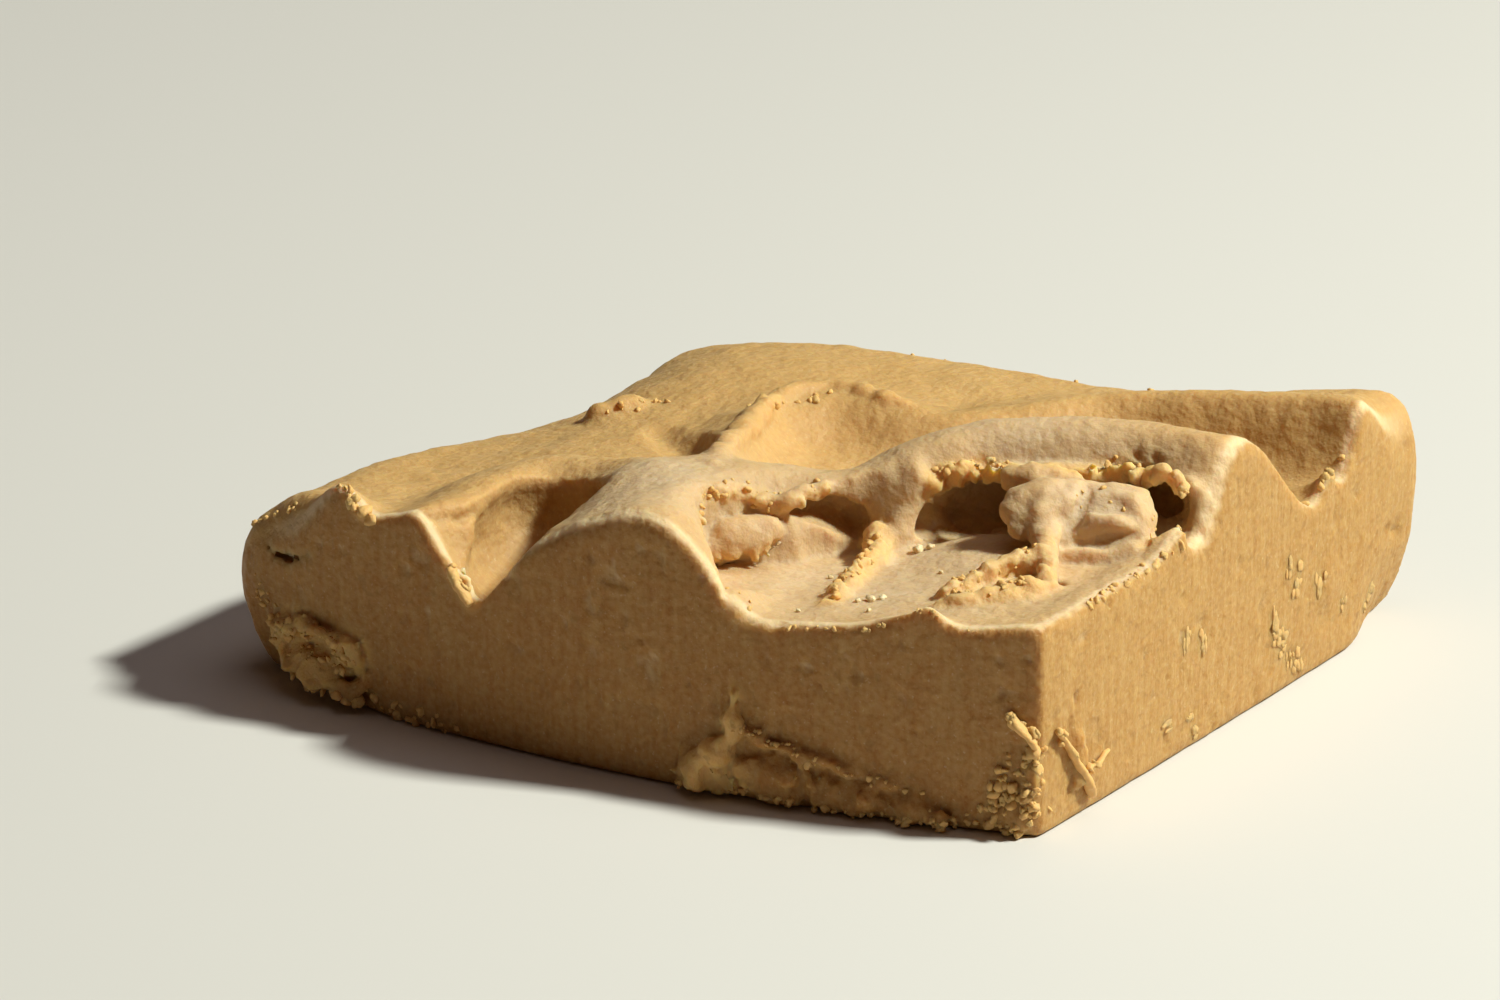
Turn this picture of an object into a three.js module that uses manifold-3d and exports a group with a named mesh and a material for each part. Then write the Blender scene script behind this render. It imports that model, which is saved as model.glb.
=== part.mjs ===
// One slab of penuche fudge, cut from a loaf, with a spatula-swirled top.
// Millimetres, +Z up. X runs along the long cut face, which faces -Y. The origin is the middle of
// the flat base. The slab is one solid: a lofted blank, minus the air above its swirled top.

import * as THREE from 'three';
import { mergeVertices } from 'three/addons/utils/BufferGeometryUtils.js';
import Module from 'manifold-3d';

const wasm = await Module();
wasm.setup();

// Middle of the box round the slab, in the plan that the dimensions below are drawn in
const MIDDLE = { x: -2.3, y: -1.25 };

// Driving dimensions of the blank
const BLANK_TOP = 33;
const SIDE_STEPS = 14;
const CORNER_STEPS = 4;
const NEAR_CORNER = { x: 46.5, y: -38.5, round: 0.8 };
const RIGHT_CORNER = { x: 49.8, y: 43.8, round: 4 };
const FAR_CORNER = { x: -41, y: 41, round: 7 };
const LEFT_CORNER = { x: -55, y: -38.4, round: 4.5 };
const FRONT_BOW = 6.5;
const RIGHT_BOW = 0.4;
const BACK_BOW = 0.8;
const LEFT_BOW = 1;
// Share of the tuck that is left at each height: the base is tucked in
const LEVELS = [
  { z: 0, tuck: 1 },
  { z: 1.2, tuck: 0.72 },
  { z: 4, tuck: 0.42 },
  { z: 9, tuck: 0.12 },
  { z: 15, tuck: 0 },
  { z: BLANK_TOP, tuck: 0 },
];
// Depth of the tuck on the knife-cut faces and on the loaf's outer left and back edges
const CUT_TUCK = 0.4;
const LOAF_TUCK = 4.2;
const LEFT_EDGE = { inner: -30, outer: -48 };
const BACK_EDGE = { inner: 26, outer: 39 };
// How round the top is at the cut faces and at the loaf's edges, and where it runs softly over a cut
// face. Only a rounding above the first of EDGE_FADE shows, and the cut is kept this far off the rest.
const CUT_ROUND = 0.5;
const LOAF_ROUND = 3.4;
const SOFT_RIM = [
  { name: 'arch end', x: 48, y: -3.6, rx: 5, ry: 6, rise: 1.7 },
];
const EDGE_FADE = { from: 1, to: 2, clear: 3, whole: 0.6 };

// Broad shape of the top: a plateau with swells and hollows
const PLATEAU = 20.4;
const SWELLS = [
  { name: 'back hill', x: -20, y: 18, rx: 18, ry: 16, rise: 2.2 },
  { name: 'right back rise', x: 50, y: 40, rx: 22, ry: 13, rise: 5.8 },
  { name: 'left hollow', x: -42, y: -8, rx: 12, ry: 18, rise: -1.6 },
  { name: 'left slope', x: -50, y: 20, rx: 13, ry: 20, rise: -8.4 },
  { name: 'back left droop', x: -34, y: 45, rx: 14, ry: 9, rise: -3.4 },
  { name: 'left corner peak', x: -38.2, y: -43, rx: 3.6, ry: 4.2, rise: 3.9 },
  { name: 'left corner', x: -41, y: -43, rx: 10, ry: 8, rise: 3 },
  { name: 'left edge', x: -53, y: -34, rx: 5, ry: 14, rise: -2.4 },
  { name: 'middle', x: -20, y: -13, rx: 12, ry: 12, rise: 1.6 },
  { name: 'left lip foot', x: -30.6, y: -43, rx: 2.6, ry: 3.4, rise: 1.2 },
  { name: 'back strip', x: 4, y: 28, rx: 14, ry: 9, rise: 1.3 },
  { name: 'back dip', x: 6, y: 46, rx: 16, ry: 6, rise: -1 },
];

// Crests of the swirl, as x, y, height, and how each one falls away to its sides
const MAIN_CREST = [
  [57, 3, 32.2], [48, 1.2, 32.2], [38, 0.4, 32.3], [32.5, -1.1, 32.3], [23, -5.2, 31.8], [17, -10.5, 30.4],
  [12, -16.3, 27.6], [8, -18.2, 27.2], [4, -20.4, 27.8], [0.3, -25.5, 28.6], [-0.6, -33, 29.2], [2.2, -44, 30],
  [2.6, -56, 30],
];
const BACK_CREST = [
  [-3, -23, 27], [-7, -13, 25.6], [-9.7, -6, 25], [-13, 3.5, 23.8], [-13, 8.5, 23], [-9, 14.4, 23.4],
  [-4, 15.6, 23.4], [5, 16, 23], [11, 21, 23.4], [18, 28, 24], [28.5, 30.2, 25.4], [38, 30.8, 26.6],
  [48, 30.2, 28], [57, 30, 28],
];
const LEFT_CREST = [
  [-26.5, -56, 24.4], [-26, -43.5, 24.6], [-25.8, -36, 24.5], [-25.6, -28, 24.4], [-23.8, -21.4, 24.3],
  [-15.8, -20.5, 25.2], [-6, -26, 28],
];
// The crest falls away in front by rounding times distance squared, out to its reach, and behind over
// its slope. The front hump turns into the arch between the two places along y.
const HUMP = { rounding: 0.09, reach: 8, slope: 24 };
const ARCH = { rounding: 0.26, reach: 3.6, slope: 18.5 };
const HUMP_END = { from: -41, to: -33 };
const BACK_SHOULDER = 5;
const LEFT_FALL = { rate: 0.12, power: 1.6, blend: 1.5 };

// Edge of the lip over the main scoop, walked from the front to the right
const MAIN_LIP = [
  [12, -58], [10.6, -44.5], [6.6, -39.5], [2.4, -34], [0.9, -30], [2.1, -25.4], [4.2, -24.2], [6, -23.6],
  [7.8, -22.8], [9.2, -20.4], [11, -17.4], [14, -15.8], [17.6, -15.2], [19.6, -12.8], [23.5, -9.4], [28, -8.6],
  [33.2, -7], [36.5, -3.6], [41, -2.6], [44.6, -3.8], [47.4, -4.8], [50, -6.6], [58, -12],
];
// Main scoop: its floor, the swell at its front edge, its wall and the thin rim at its right end
const MAIN_FLOOR = { height: 19, lowX: 14, riseX: 0.11, lowY: -20, riseY: 0.045 };
const FLOOR_SWELLS = [
  { name: 'front peak', x: 34.4, y: -42, rx: 2, ry: 3, rise: 2.2 },
  { name: 'front peak foot', x: 31, y: -42, rx: 3.2, ry: 3, rise: 1.3 },
  { name: 'right rim nodule', x: 48, y: -9.4, rx: 2.6, ry: 4, rise: 2.6 },
  { name: 'left bank', x: 11.4, y: -42, rx: 2.4, ry: 5, rise: 2.4 },
  { name: 'raised floor', x: 27.5, y: -15.5, rx: 9, ry: 9, rise: 1.9 },
];
// Width of its wall: steep along the lip, softer where it is a bank and at its right end
const MAIN_WALL = 1.4;
const WALL_END = { width: 7, from: 45.6, to: 48.4 };
const SOFT_WALLS = [
  { name: 'column', x: 14.6, y: -15.6, rx: 3.2, ry: 3, rise: 1.6 },
  { name: 'curl bank', x: 3.2, y: -25.2, rx: 3.8, ry: 3.4, rise: 3.4 },
];
const RIGHT_RIM = { height: 23.4, inner: 41, outer: 46 };

// Back scoop, between the main crest and the back crest
const BACK_FLOOR = 19;
const BACK_WALL = 9;
const BACK_SHELVES = [
  { name: 'rim nodule', x: 51, y: 21.6, rx: 4.5, ry: 2, rise: 4.4 },
  { name: 'rim dip', x: 51, y: 27, rx: 4.5, ry: 2, rise: -1 },
];

// Left scoop: a short trough under the left crest's lip, as x, y, floor height, radius, steepness
const LEFT_SCOOP = [
  [-20.3, -58, 14, 8.7, 1.05], [-19.2, -43.8, 15.9, 8.7, 1.05], [-18.4, -38.4, 16.6, 6.4, 2.6],
  [-18.2, -32, 17.6, 6.2, 5], [-19.2, -29, 18.6, 5.6, 6], [-14.8, -31.2, 20.4, 4.4, 6],
];
const LEFT_SCOOP_RISE = 10;
const LEFT_SCOOP_BLEND = 1;

// Hollows under the lips, as x, y, z, radius
const CAVES = [
  [[7.4, -22.4, 24.6, 0.7], [8.8, -20.6, 24.2, 1.4], [10.6, -18.8, 23.4, 1.9], [12.4, -18, 22, 1.6]],
  [[7.6, -20.6, 24.8, 0.9], [9.6, -18, 24, 1.5], [11.8, -16.4, 22.8, 1.6]],
  [[18.6, -14.4, 23, 2.2], [22, -10.8, 23.2, 2.9], [27, -8.8, 23.5, 3], [31, -8, 23.8, 3]],
  [[21.6, -9.5, 23.2, 2.8], [25.6, -5, 23.6, 3], [30, -4, 24, 3]],
  [[34, -6, 24.6, 3], [38, -3.6, 25.2, 3.2], [42.4, -4.8, 25.4, 3], [44.6, -7, 25.2, 2.4],
    [46.2, -7.4, 25.4, 1.8]],
  [[33.5, -1.5, 24.8, 3], [38, 1.2, 25, 3.2], [42, 0.6, 25, 2.8]],
  [[37, -5.6, 26.6, 2], [40.2, -4.8, 27, 2.4], [43, -6, 27, 2], [46.8, -6, 27.2, 1.5]],
  [[37.2, -25, 21.6, 1.1], [39, -23, 21.9, 1.2]],
];
// The left scoop goes back under the left crest as one smooth bowl, and the spatula left a crease
const LEFT_BOWL = [
  [-19, -41, 16.6, 1.8], [-19.6, -38, 18.2, 3.6], [-20.2, -34, 19.4, 4.9], [-19.6, -29.4, 20.2, 5.4],
  [-16, -29, 21.2, 4.6], [-12.8, -31.2, 22.2, 3],
];
const CREASE = [[-36.4, -12, 20.6, 0.7], [-35.2, -6, 20.9, 1.1], [-34, -1, 21, 0.9]];
// The right edge of the column that closes the hollows on the left
const COLUMN = [
  [17.6, -13.8, 27.4, 1.5], [17.3, -14.8, 24.4, 1.3], [16.4, -16.4, 21.4, 1.6], [15.2, -17.6, 20.2, 1.6],
];
// Strands of fudge that were pulled over the hollows, as x, y, z, radius
const STRANDS = [
  [[15, -17.6, 21, 1.7], [17, -21.8, 20.7, 1.2], [18.2, -27, 20.5, 1], [18.8, -31.4, 20.6, 1.2],
    [19.2, -35.4, 20.3, 1]],
  [[1.4, -28, 27.3, 0.7], [2.8, -25.4, 26.8, 0.8], [4.6, -24.1, 26, 0.8], [6, -23.8, 24.9, 1],
    [7.2, -23.1, 25.7, 0.8], [8.2, -21.8, 26.3, 0.7], [9.6, -20, 26.6, 0.8]],
  [[27.4, -11.2, 28.3, 1.1], [30, -10.4, 28.5, 1.3], [33.2, -8.8, 28.4, 1.2]],
  [[30.8, -14.2, 26.8, 2], [32.6, -13, 26.8, 2.6], [35, -11, 26.6, 2.5]],
  [[32.8, -13.6, 25.4, 2.4], [34, -15.4, 24.7, 1.9], [35.8, -18.2, 24, 1.3], [38, -22, 23.1, 1.05],
    [39.6, -25.2, 22.2, 1.1]],
  [[36, -9.4, 26.6, 1.9], [38.6, -8.6, 26.7, 1.9], [40.8, -8, 26.4, 1.9]],
  [[35.6, -10.6, 25, 2.5], [38.6, -10, 24.8, 2.8], [41.2, -9.2, 24.8, 2.6], [41.8, -9.8, 23.2, 2.3]],
  [[35.4, -12.8, 24.2, 2], [37.6, -12.2, 24, 2.3], [40.4, -11.2, 24, 2.2]],
  [[36.4, -14, 23, 1.4], [39.4, -13, 23, 1.6], [42.4, -11.6, 23.4, 1.5]],
  [[31.6, -33.2, 21.7, 0.7], [35, -30.8, 22.1, 1.4], [38.6, -27.2, 22.3, 1.6]],
  [[30.6, -30.6, 21.8, 0.7], [31.8, -26.8, 22.4, 1], [33.6, -23.2, 23.1, 1], [35.8, -20, 23.6, 1.1]],
  [[-32.5, 4, 19.6, 1.8], [-30, 6.4, 20.4, 1.6]],
  [[7.4, 41.3, 20.2, 1.5], [9.6, 41.5, 20.4, 1.2]],
  [[-0.6, 41.6, 19.8, 1.1], [1, 41.6, 19.8, 1]],
];
const CAVE_BLEND = 0.8;
const STRAND_BLEND = 1.4;

// Rough lumps where the cut faces broke, as centre x, y, z and half sizes along x, y, z
const LUMPS = [
  { name: 'left chip', at: [-44.4, -39.6, 6.6], size: [3.6, 1.5, 3.2] },
  { name: 'left chip ledge', at: [-40.6, -41, 3.8], size: [4.4, 1.7, 2] },
  { name: 'left chip end', at: [-37, -41.4, 6.4], size: [2.2, 1.3, 2.6] },
  { name: 'foot left', at: [9.6, -44.4, 2.8], size: [4.2, 1.7, 2.7] },
  { name: 'foot middle', at: [16.6, -43.6, 3], size: [5, 1.7, 2.9] },
  { name: 'foot right', at: [24.6, -42.5, 2.2], size: [5, 1.5, 2.1] },
  { name: 'foot end', at: [32, -41.4, 1.6], size: [4.6, 1.3, 1.5] },
  { name: 'foot spike', at: [12.4, -44.5, 8], size: [0.9, 0.8, 3] },
  { name: 'near corner crumb', at: [43.4, -38.9, 2.2], size: [2.2, 1.1, 2] },
  { name: 'near corner flake', at: [45.5, -38.5, 6.4], size: [1.1, 1, 3.2] },
  { name: 'shaving', at: [47, -31.6, 6.6], size: [0.9, 1.1, 3.4] },
  { name: 'right dab', at: [48.7, 22, 9.6], size: [0.9, 2.2, 2.6] },
];
const LUMP_ROUGHNESS = 0.16;
const LUMP_LOWEST = 0.2;

// Grid that the top surface is traced on, and the share of a height that counts as distance
const CELL = 1.85;
const HEIGHT_SHARE = 0.7;
const GRID_LOW = [-59.5, -52, 9.5];
const GRID_HIGH = [55.2, 50, 36];

function smoothMin(a, b, blend) {
  const overlap = Math.max(blend - Math.abs(a - b), 0) / blend;
  return Math.min(a, b) - (overlap * overlap * blend) / 4;
}

function smoothMax(a, b, blend) {
  return -smoothMin(-a, -b, blend);
}

function smoothStep(from, to, value) {
  const t = Math.min(Math.max((value - from) / (to - from), 0), 1);
  return t * t * (3 - 2 * t);
}

function mix(a, b, share) {
  return a + (b - a) * share;
}

// A smooth plan curve through the given points; a third number is carried along it as a height
function planCurve(points, samples) {
  const spline = new THREE.CatmullRomCurve3(
    points.map(([x, y, height = 0]) => new THREE.Vector3(x, y, height)), false, 'centripetal');
  return spline.getSpacedPoints(samples);
}

// Nearest point of a plan curve: distance, side (positive to the left of the walk) and height
function nearestOnPlan(curve, x, y) {
  let best = { distance: Infinity, side: 1, height: 0 };
  for (let i = 0; i + 1 < curve.length; i += 1) {
    const from = curve[i];
    const alongX = curve[i + 1].x - from.x;
    const alongY = curve[i + 1].y - from.y;
    const toX = x - from.x;
    const toY = y - from.y;
    const share = Math.min(Math.max((toX * alongX + toY * alongY) / (alongX ** 2 + alongY ** 2), 0), 1);
    const distance = Math.hypot(toX - alongX * share, toY - alongY * share);
    if (distance < best.distance) {
      best = {
        distance,
        side: Math.sign(alongX * toY - alongY * toX) || 1,
        height: mix(from.z, curve[i + 1].z, share),
      };
    }
  }
  return best;
}

// Signed distance to a strand of round beads joined by tapering runs
function strandDistance(strand, x, y, z) {
  let nearest = Infinity;
  for (let i = 0; i + 1 < strand.length; i += 1) {
    const [ax, ay, az, ar] = strand[i];
    const [bx, by, bz, br] = strand[i + 1];
    const along = [bx - ax, by - ay, bz - az];
    const to = [x - ax, y - ay, z - az];
    const lengthSquared = along[0] ** 2 + along[1] ** 2 + along[2] ** 2;
    const reach = (to[0] * along[0] + to[1] * along[1] + to[2] * along[2]) / lengthSquared;
    const share = Math.min(Math.max(reach, 0), 1);
    const gap = Math.hypot(to[0] - along[0] * share, to[1] - along[1] * share, to[2] - along[2] * share);
    nearest = Math.min(nearest, gap - mix(ar, br, share));
  }
  return nearest;
}

const mainCrest = planCurve(MAIN_CREST, 60);
const backCrest = planCurve(BACK_CREST, 60);
const leftCrest = planCurve(LEFT_CREST, 40);
const mainLip = planCurve(MAIN_LIP, 80);
const outline = planOutline();
const outlineCurve = [...outline, outline[0]];

// Sum of soft swells at a plan point
function swellHeight(swells, x, y) {
  return swells.reduce(
    (height, { x: cx, y: cy, rx, ry, rise }) =>
      height + rise * Math.exp(-(((x - cx) / rx) ** 2) - ((y - cy) / ry) ** 2),
    0);
}

// Ground behind the main crest: the back scoop, held in by the back crest, then the plateau
function backHeight(x, y, toMain) {
  const toBack = nearestOnPlan(backCrest, x, y);
  const plateau = PLATEAU + swellHeight(SWELLS, x, y);
  const crestShare = Math.exp(-((toBack.distance / BACK_SHOULDER) ** 2));
  const lipHeight = mix(plateau, toBack.height, crestShare);
  const inScoop = toBack.side < 0 && toMain.side < 0;
  if (!inScoop) {
    return lipHeight;
  }
  const floor = BACK_FLOOR + swellHeight(BACK_SHELVES, x, y);
  return mix(lipHeight, floor, smoothStep(0, BACK_WALL, toBack.distance));
}

// Floor of the main scoop: lowest near the front, rising to the right and to the thin right rim
function mainFloorHeight(x, y) {
  const riseRight = MAIN_FLOOR.riseX * Math.max(x - MAIN_FLOOR.lowX, 0);
  const riseFront = MAIN_FLOOR.riseY * Math.max(MAIN_FLOOR.lowY - y, 0);
  const floor = MAIN_FLOOR.height + riseRight + riseFront;
  const held = mix(floor, RIGHT_RIM.height, smoothStep(RIGHT_RIM.inner, RIGHT_RIM.outer, x));
  return held + swellHeight(FLOOR_SWELLS, x, y);
}

function leftScoopHeight(x, y) {
  let lowest = Infinity;
  for (let i = 0; i + 1 < LEFT_SCOOP.length; i += 1) {
    const [ax, ay, az, ar, ap] = LEFT_SCOOP[i];
    const [bx, by, bz, br, bp] = LEFT_SCOOP[i + 1];
    const reach = ((x - ax) * (bx - ax) + (y - ay) * (by - ay)) / ((bx - ax) ** 2 + (by - ay) ** 2);
    const share = Math.min(Math.max(reach, 0), 1);
    const distance = Math.hypot(x - mix(ax, bx, share), y - mix(ay, by, share));
    const wall = LEFT_SCOOP_RISE * (distance / mix(ar, br, share)) ** mix(ap, bp, share);
    lowest = Math.min(lowest, mix(az, bz, share) + wall);
  }
  return lowest;
}

function topHeight(x, y) {
  const toMain = nearestOnPlan(mainCrest, x, y);
  const toLeft = nearestOnPlan(leftCrest, x, y);
  let height = backHeight(x, y, toMain);
  const leftHeight = toLeft.height - LEFT_FALL.rate * toLeft.distance ** LEFT_FALL.power;
  height = smoothMax(height, leftHeight, LEFT_FALL.blend);
  const arch = smoothStep(HUMP_END.from, HUMP_END.to, y);
  if (toMain.side < 0) {
    const share = Math.min(toMain.distance / mix(HUMP.slope, ARCH.slope, arch), 1);
    height = mix(height, toMain.height, (1 + Math.cos(Math.PI * share)) / 2);
  } else {
    const reach = Math.min(toMain.distance, mix(HUMP.reach, ARCH.reach, arch));
    height = toMain.height - mix(HUMP.rounding, ARCH.rounding, arch) * reach ** 2;
  }
  height = smoothMin(height, leftScoopHeight(x, y), LEFT_SCOOP_BLEND);
  const toLip = nearestOnPlan(mainLip, x, y);
  const inside = toLip.side < 0 ? toLip.distance : -toLip.distance;
  const end = smoothStep(WALL_END.from, WALL_END.to, x);
  const width = mix(MAIN_WALL, WALL_END.width, end) + swellHeight(SOFT_WALLS, x, y);
  return mix(height, mainFloorHeight(x, y), smoothStep(0, width, inside));
}

// How much of a plan point belongs to the loaf's outer edges: 0 by the knife-cut faces, 1 by the edges
function loafShare(x, y) {
  const leftShare = smoothStep(LEFT_EDGE.inner, LEFT_EDGE.outer, x);
  const backShare = smoothStep(BACK_EDGE.inner, BACK_EDGE.outer, y);
  return Math.max(leftShare, backShare);
}

// The rounded top edge: its roundness, and the distance out of the slab's plan that it is cut by
function edgeOfTop(x, y) {
  const round = mix(CUT_ROUND + swellHeight(SOFT_RIM, x, y), LOAF_ROUND, loafShare(x, y));
  const clear = mix(EDGE_FADE.clear, EDGE_FADE.whole, smoothStep(EDGE_FADE.from, EDGE_FADE.to, round));
  const toOutline = nearestOnPlan(outlineCurve, x, y);
  return { round, out: -toOutline.side * toOutline.distance - clear };
}

// Negative in the fudge and positive in the air above it
function fudgeDistance(x, y, z, ground, edge) {
  let distance = (z - ground) * HEIGHT_SHARE;
  distance = smoothMax(distance, -strandDistance(LEFT_BOWL, x, y, z), CAVE_BLEND);
  distance = smoothMax(distance, -strandDistance(CREASE, x, y, z), CAVE_BLEND);
  for (const cave of CAVES) {
    distance = smoothMax(distance, -strandDistance(cave, x, y, z), CAVE_BLEND);
  }
  distance = smoothMin(distance, strandDistance(COLUMN, x, y, z), STRAND_BLEND);
  for (const strand of STRANDS) {
    distance = smoothMin(distance, strandDistance(strand, x, y, z), STRAND_BLEND);
  }
  return smoothMax(distance, edge.out, 2 * edge.round);
}

// Samples the air on a grid whose border counts as fudge, so that the air is a closed solid
function sampleAir() {
  const counts = GRID_LOW.map((low, axis) => Math.round((GRID_HIGH[axis] - low) / CELL) + 1);
  const values = new Float64Array(counts[0] * counts[1] * counts[2]);
  const at = (i, j, k) => i + counts[0] * (j + counts[1] * k);
  for (let j = 0; j < counts[1]; j += 1) {
    for (let i = 0; i < counts[0]; i += 1) {
      const x = GRID_LOW[0] + i * CELL;
      const y = GRID_LOW[1] + j * CELL;
      const ground = topHeight(x, y);
      const edge = edgeOfTop(x, y);
      for (let k = 0; k < counts[2]; k += 1) {
        const border = [i, j, k].some((index, axis) => index === 0 || index === counts[axis] - 1);
        const distance = fudgeDistance(x, y, GRID_LOW[2] + k * CELL, ground, edge);
        values[at(i, j, k)] = border ? Math.min(distance, -CELL / 2) : distance;
      }
    }
  }
  return { counts, values, at };
}

const CORNERS = [0, 1, 2, 3, 4, 5, 6, 7].map((corner) => [corner & 1, (corner >> 1) & 1, corner >> 2]);
const CELL_EDGES = CORNERS.flatMap(
  (_, a) => [1, 2, 4].filter((bit) => !(a & bit)).map((bit) => [a, a | bit]));

// Whether the corners of one sign in a cell hang together along the cell's edges
function hangsTogether(members) {
  if (members.length < 2) {
    return true;
  }
  const reached = new Set([members[0]]);
  let grew = true;
  while (grew) {
    grew = false;
    for (const [a, b] of CELL_EDGES) {
      if (members.includes(a) && members.includes(b) && reached.has(a) !== reached.has(b)) {
        reached.add(a).add(b);
        grew = true;
      }
    }
  }
  return reached.size === members.length;
}

// Fills the air corner nearest to the surface in every cell where two sheets would share a point
function clearPinches({ counts, values, at }) {
  let changed = true;
  while (changed) {
    changed = false;
    for (let k = 0; k + 1 < counts[2]; k += 1) {
      for (let j = 0; j + 1 < counts[1]; j += 1) {
        for (let i = 0; i + 1 < counts[0]; i += 1) {
          const nodes = CORNERS.map(([a, b, c]) => at(i + a, j + b, k + c));
          const air = [0, 1, 2, 3, 4, 5, 6, 7].filter((corner) => values[nodes[corner]] > 0);
          const fudge = [0, 1, 2, 3, 4, 5, 6, 7].filter((corner) => values[nodes[corner]] <= 0);
          if (!hangsTogether(air) || !hangsTogether(fudge)) {
            const thinnest = air.reduce((a, b) => (values[nodes[a]] < values[nodes[b]] ? a : b));
            values[nodes[thinnest]] = -0.02;
            changed = true;
          }
        }
      }
    }
  }
}

// One point for each cell that the surface crosses, the mean of the crossings on its edges
function cellPoints({ counts, values, at }) {
  const points = [];
  const pointOfCell = new Map();
  for (let k = 0; k + 1 < counts[2]; k += 1) {
    for (let j = 0; j + 1 < counts[1]; j += 1) {
      for (let i = 0; i + 1 < counts[0]; i += 1) {
        const sum = [0, 0, 0];
        let crossings = 0;
        for (const [a, b] of CELL_EDGES) {
          const valueA = values[at(i + CORNERS[a][0], j + CORNERS[a][1], k + CORNERS[a][2])];
          const valueB = values[at(i + CORNERS[b][0], j + CORNERS[b][1], k + CORNERS[b][2])];
          if (valueA > 0 !== valueB > 0) {
            const share = valueA / (valueA - valueB);
            [0, 1, 2].forEach((axis) => { sum[axis] += mix(CORNERS[a][axis], CORNERS[b][axis], share); });
            crossings += 1;
          }
        }
        if (crossings > 0) {
          pointOfCell.set(at(i, j, k), points.length);
          const place = (index, axis) => GRID_LOW[axis] + (index + sum[axis] / crossings) * CELL;
          points.push([i, j, k].map(place));
        }
      }
    }
  }
  return { points, pointOfCell };
}

// Two triangles for each grid edge that the surface crosses, facing out of the air
function cellFaces({ counts, values, at }, pointOfCell) {
  const steps = [[1, 0, 0], [0, 1, 0], [0, 0, 1]];
  const triangles = [];
  for (let k = 0; k + 1 < counts[2]; k += 1) {
    for (let j = 0; j + 1 < counts[1]; j += 1) {
      for (let i = 0; i + 1 < counts[0]; i += 1) {
        steps.forEach((step, axis) => {
          const here = values[at(i, j, k)] > 0;
          const there = values[at(i + step[0], j + step[1], k + step[2])] > 0;
          if (here !== there) {
            const u = steps[(axis + 1) % 3];
            const v = steps[(axis + 2) % 3];
            const ring = [[0, 0], [1, 0], [1, 1], [0, 1]].map(([a, b]) =>
              pointOfCell.get(at(i - a * u[0] - b * v[0], j - a * u[1] - b * v[1], k - a * u[2] - b * v[2])));
            const [p, q, r, s] = here ? ring : ring.reverse();
            triangles.push(p, q, r, p, r, s);
          }
        });
      }
    }
  }
  return triangles;
}

function airSolid() {
  const grid = sampleAir();
  clearPinches(grid);
  const { points, pointOfCell } = cellPoints(grid);
  const triangles = cellFaces(grid, pointOfCell);
  return toManifold(points.flat(), triangles);
}

function toManifold(positions, triangles) {
  return new wasm.Manifold(new wasm.Mesh({
    numProp: 3,
    vertProperties: new Float32Array(positions),
    triVerts: new Uint32Array(triangles),
  }));
}

// Ring of plan points, anticlockwise from the near corner, with bowed sides and rounded corners
function planOutline() {
  const corners = [NEAR_CORNER, RIGHT_CORNER, FAR_CORNER, LEFT_CORNER];
  const bows = [RIGHT_BOW, BACK_BOW, LEFT_BOW, FRONT_BOW];
  const ring = [];
  corners.forEach((corner, index) => {
    const next = corners[(index + 1) % 4];
    const length = Math.hypot(next.x - corner.x, next.y - corner.y);
    const along = [(next.x - corner.x) / length, (next.y - corner.y) / length];
    const out = [along[1], -along[0]];
    const start = corner.round;
    const end = length - next.round;
    for (let step = 0; step <= SIDE_STEPS; step += 1) {
      const reach = mix(start, end, step / SIDE_STEPS);
      const bow = bows[index] * 4 * (reach / length) * (1 - reach / length);
      ring.push({
        x: corner.x + along[0] * reach + out[0] * bow,
        y: corner.y + along[1] * reach + out[1] * bow,
      });
    }
  });
  return roundCorners(ring);
}

// Adds a curve of points between the sides at each corner
function roundCorners(ring) {
  const perSide = SIDE_STEPS + 1;
  const rounded = [];
  for (let side = 0; side < 4; side += 1) {
    const points = ring.slice(side * perSide, (side + 1) * perSide);
    rounded.push(...points);
    const from = points[perSide - 1];
    const before = points[perSide - 2];
    const to = ring[((side + 1) * perSide) % ring.length];
    const after = ring[((side + 1) * perSide + 1) % ring.length];
    const corner = crossing(before, from, to, after);
    for (let step = 1; step < CORNER_STEPS; step += 1) {
      const t = step / CORNER_STEPS;
      rounded.push({
        x: (1 - t) ** 2 * from.x + 2 * t * (1 - t) * corner.x + t * t * to.x,
        y: (1 - t) ** 2 * from.y + 2 * t * (1 - t) * corner.y + t * t * to.y,
      });
    }
  }
  return rounded;
}

function crossing(a, b, c, d) {
  const ab = [b.x - a.x, b.y - a.y];
  const cd = [d.x - c.x, d.y - c.y];
  const share = ((c.x - a.x) * cd[1] - (c.y - a.y) * cd[0]) / (ab[0] * cd[1] - ab[1] * cd[0]);
  return { x: a.x + ab[0] * share, y: a.y + ab[1] * share };
}

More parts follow.
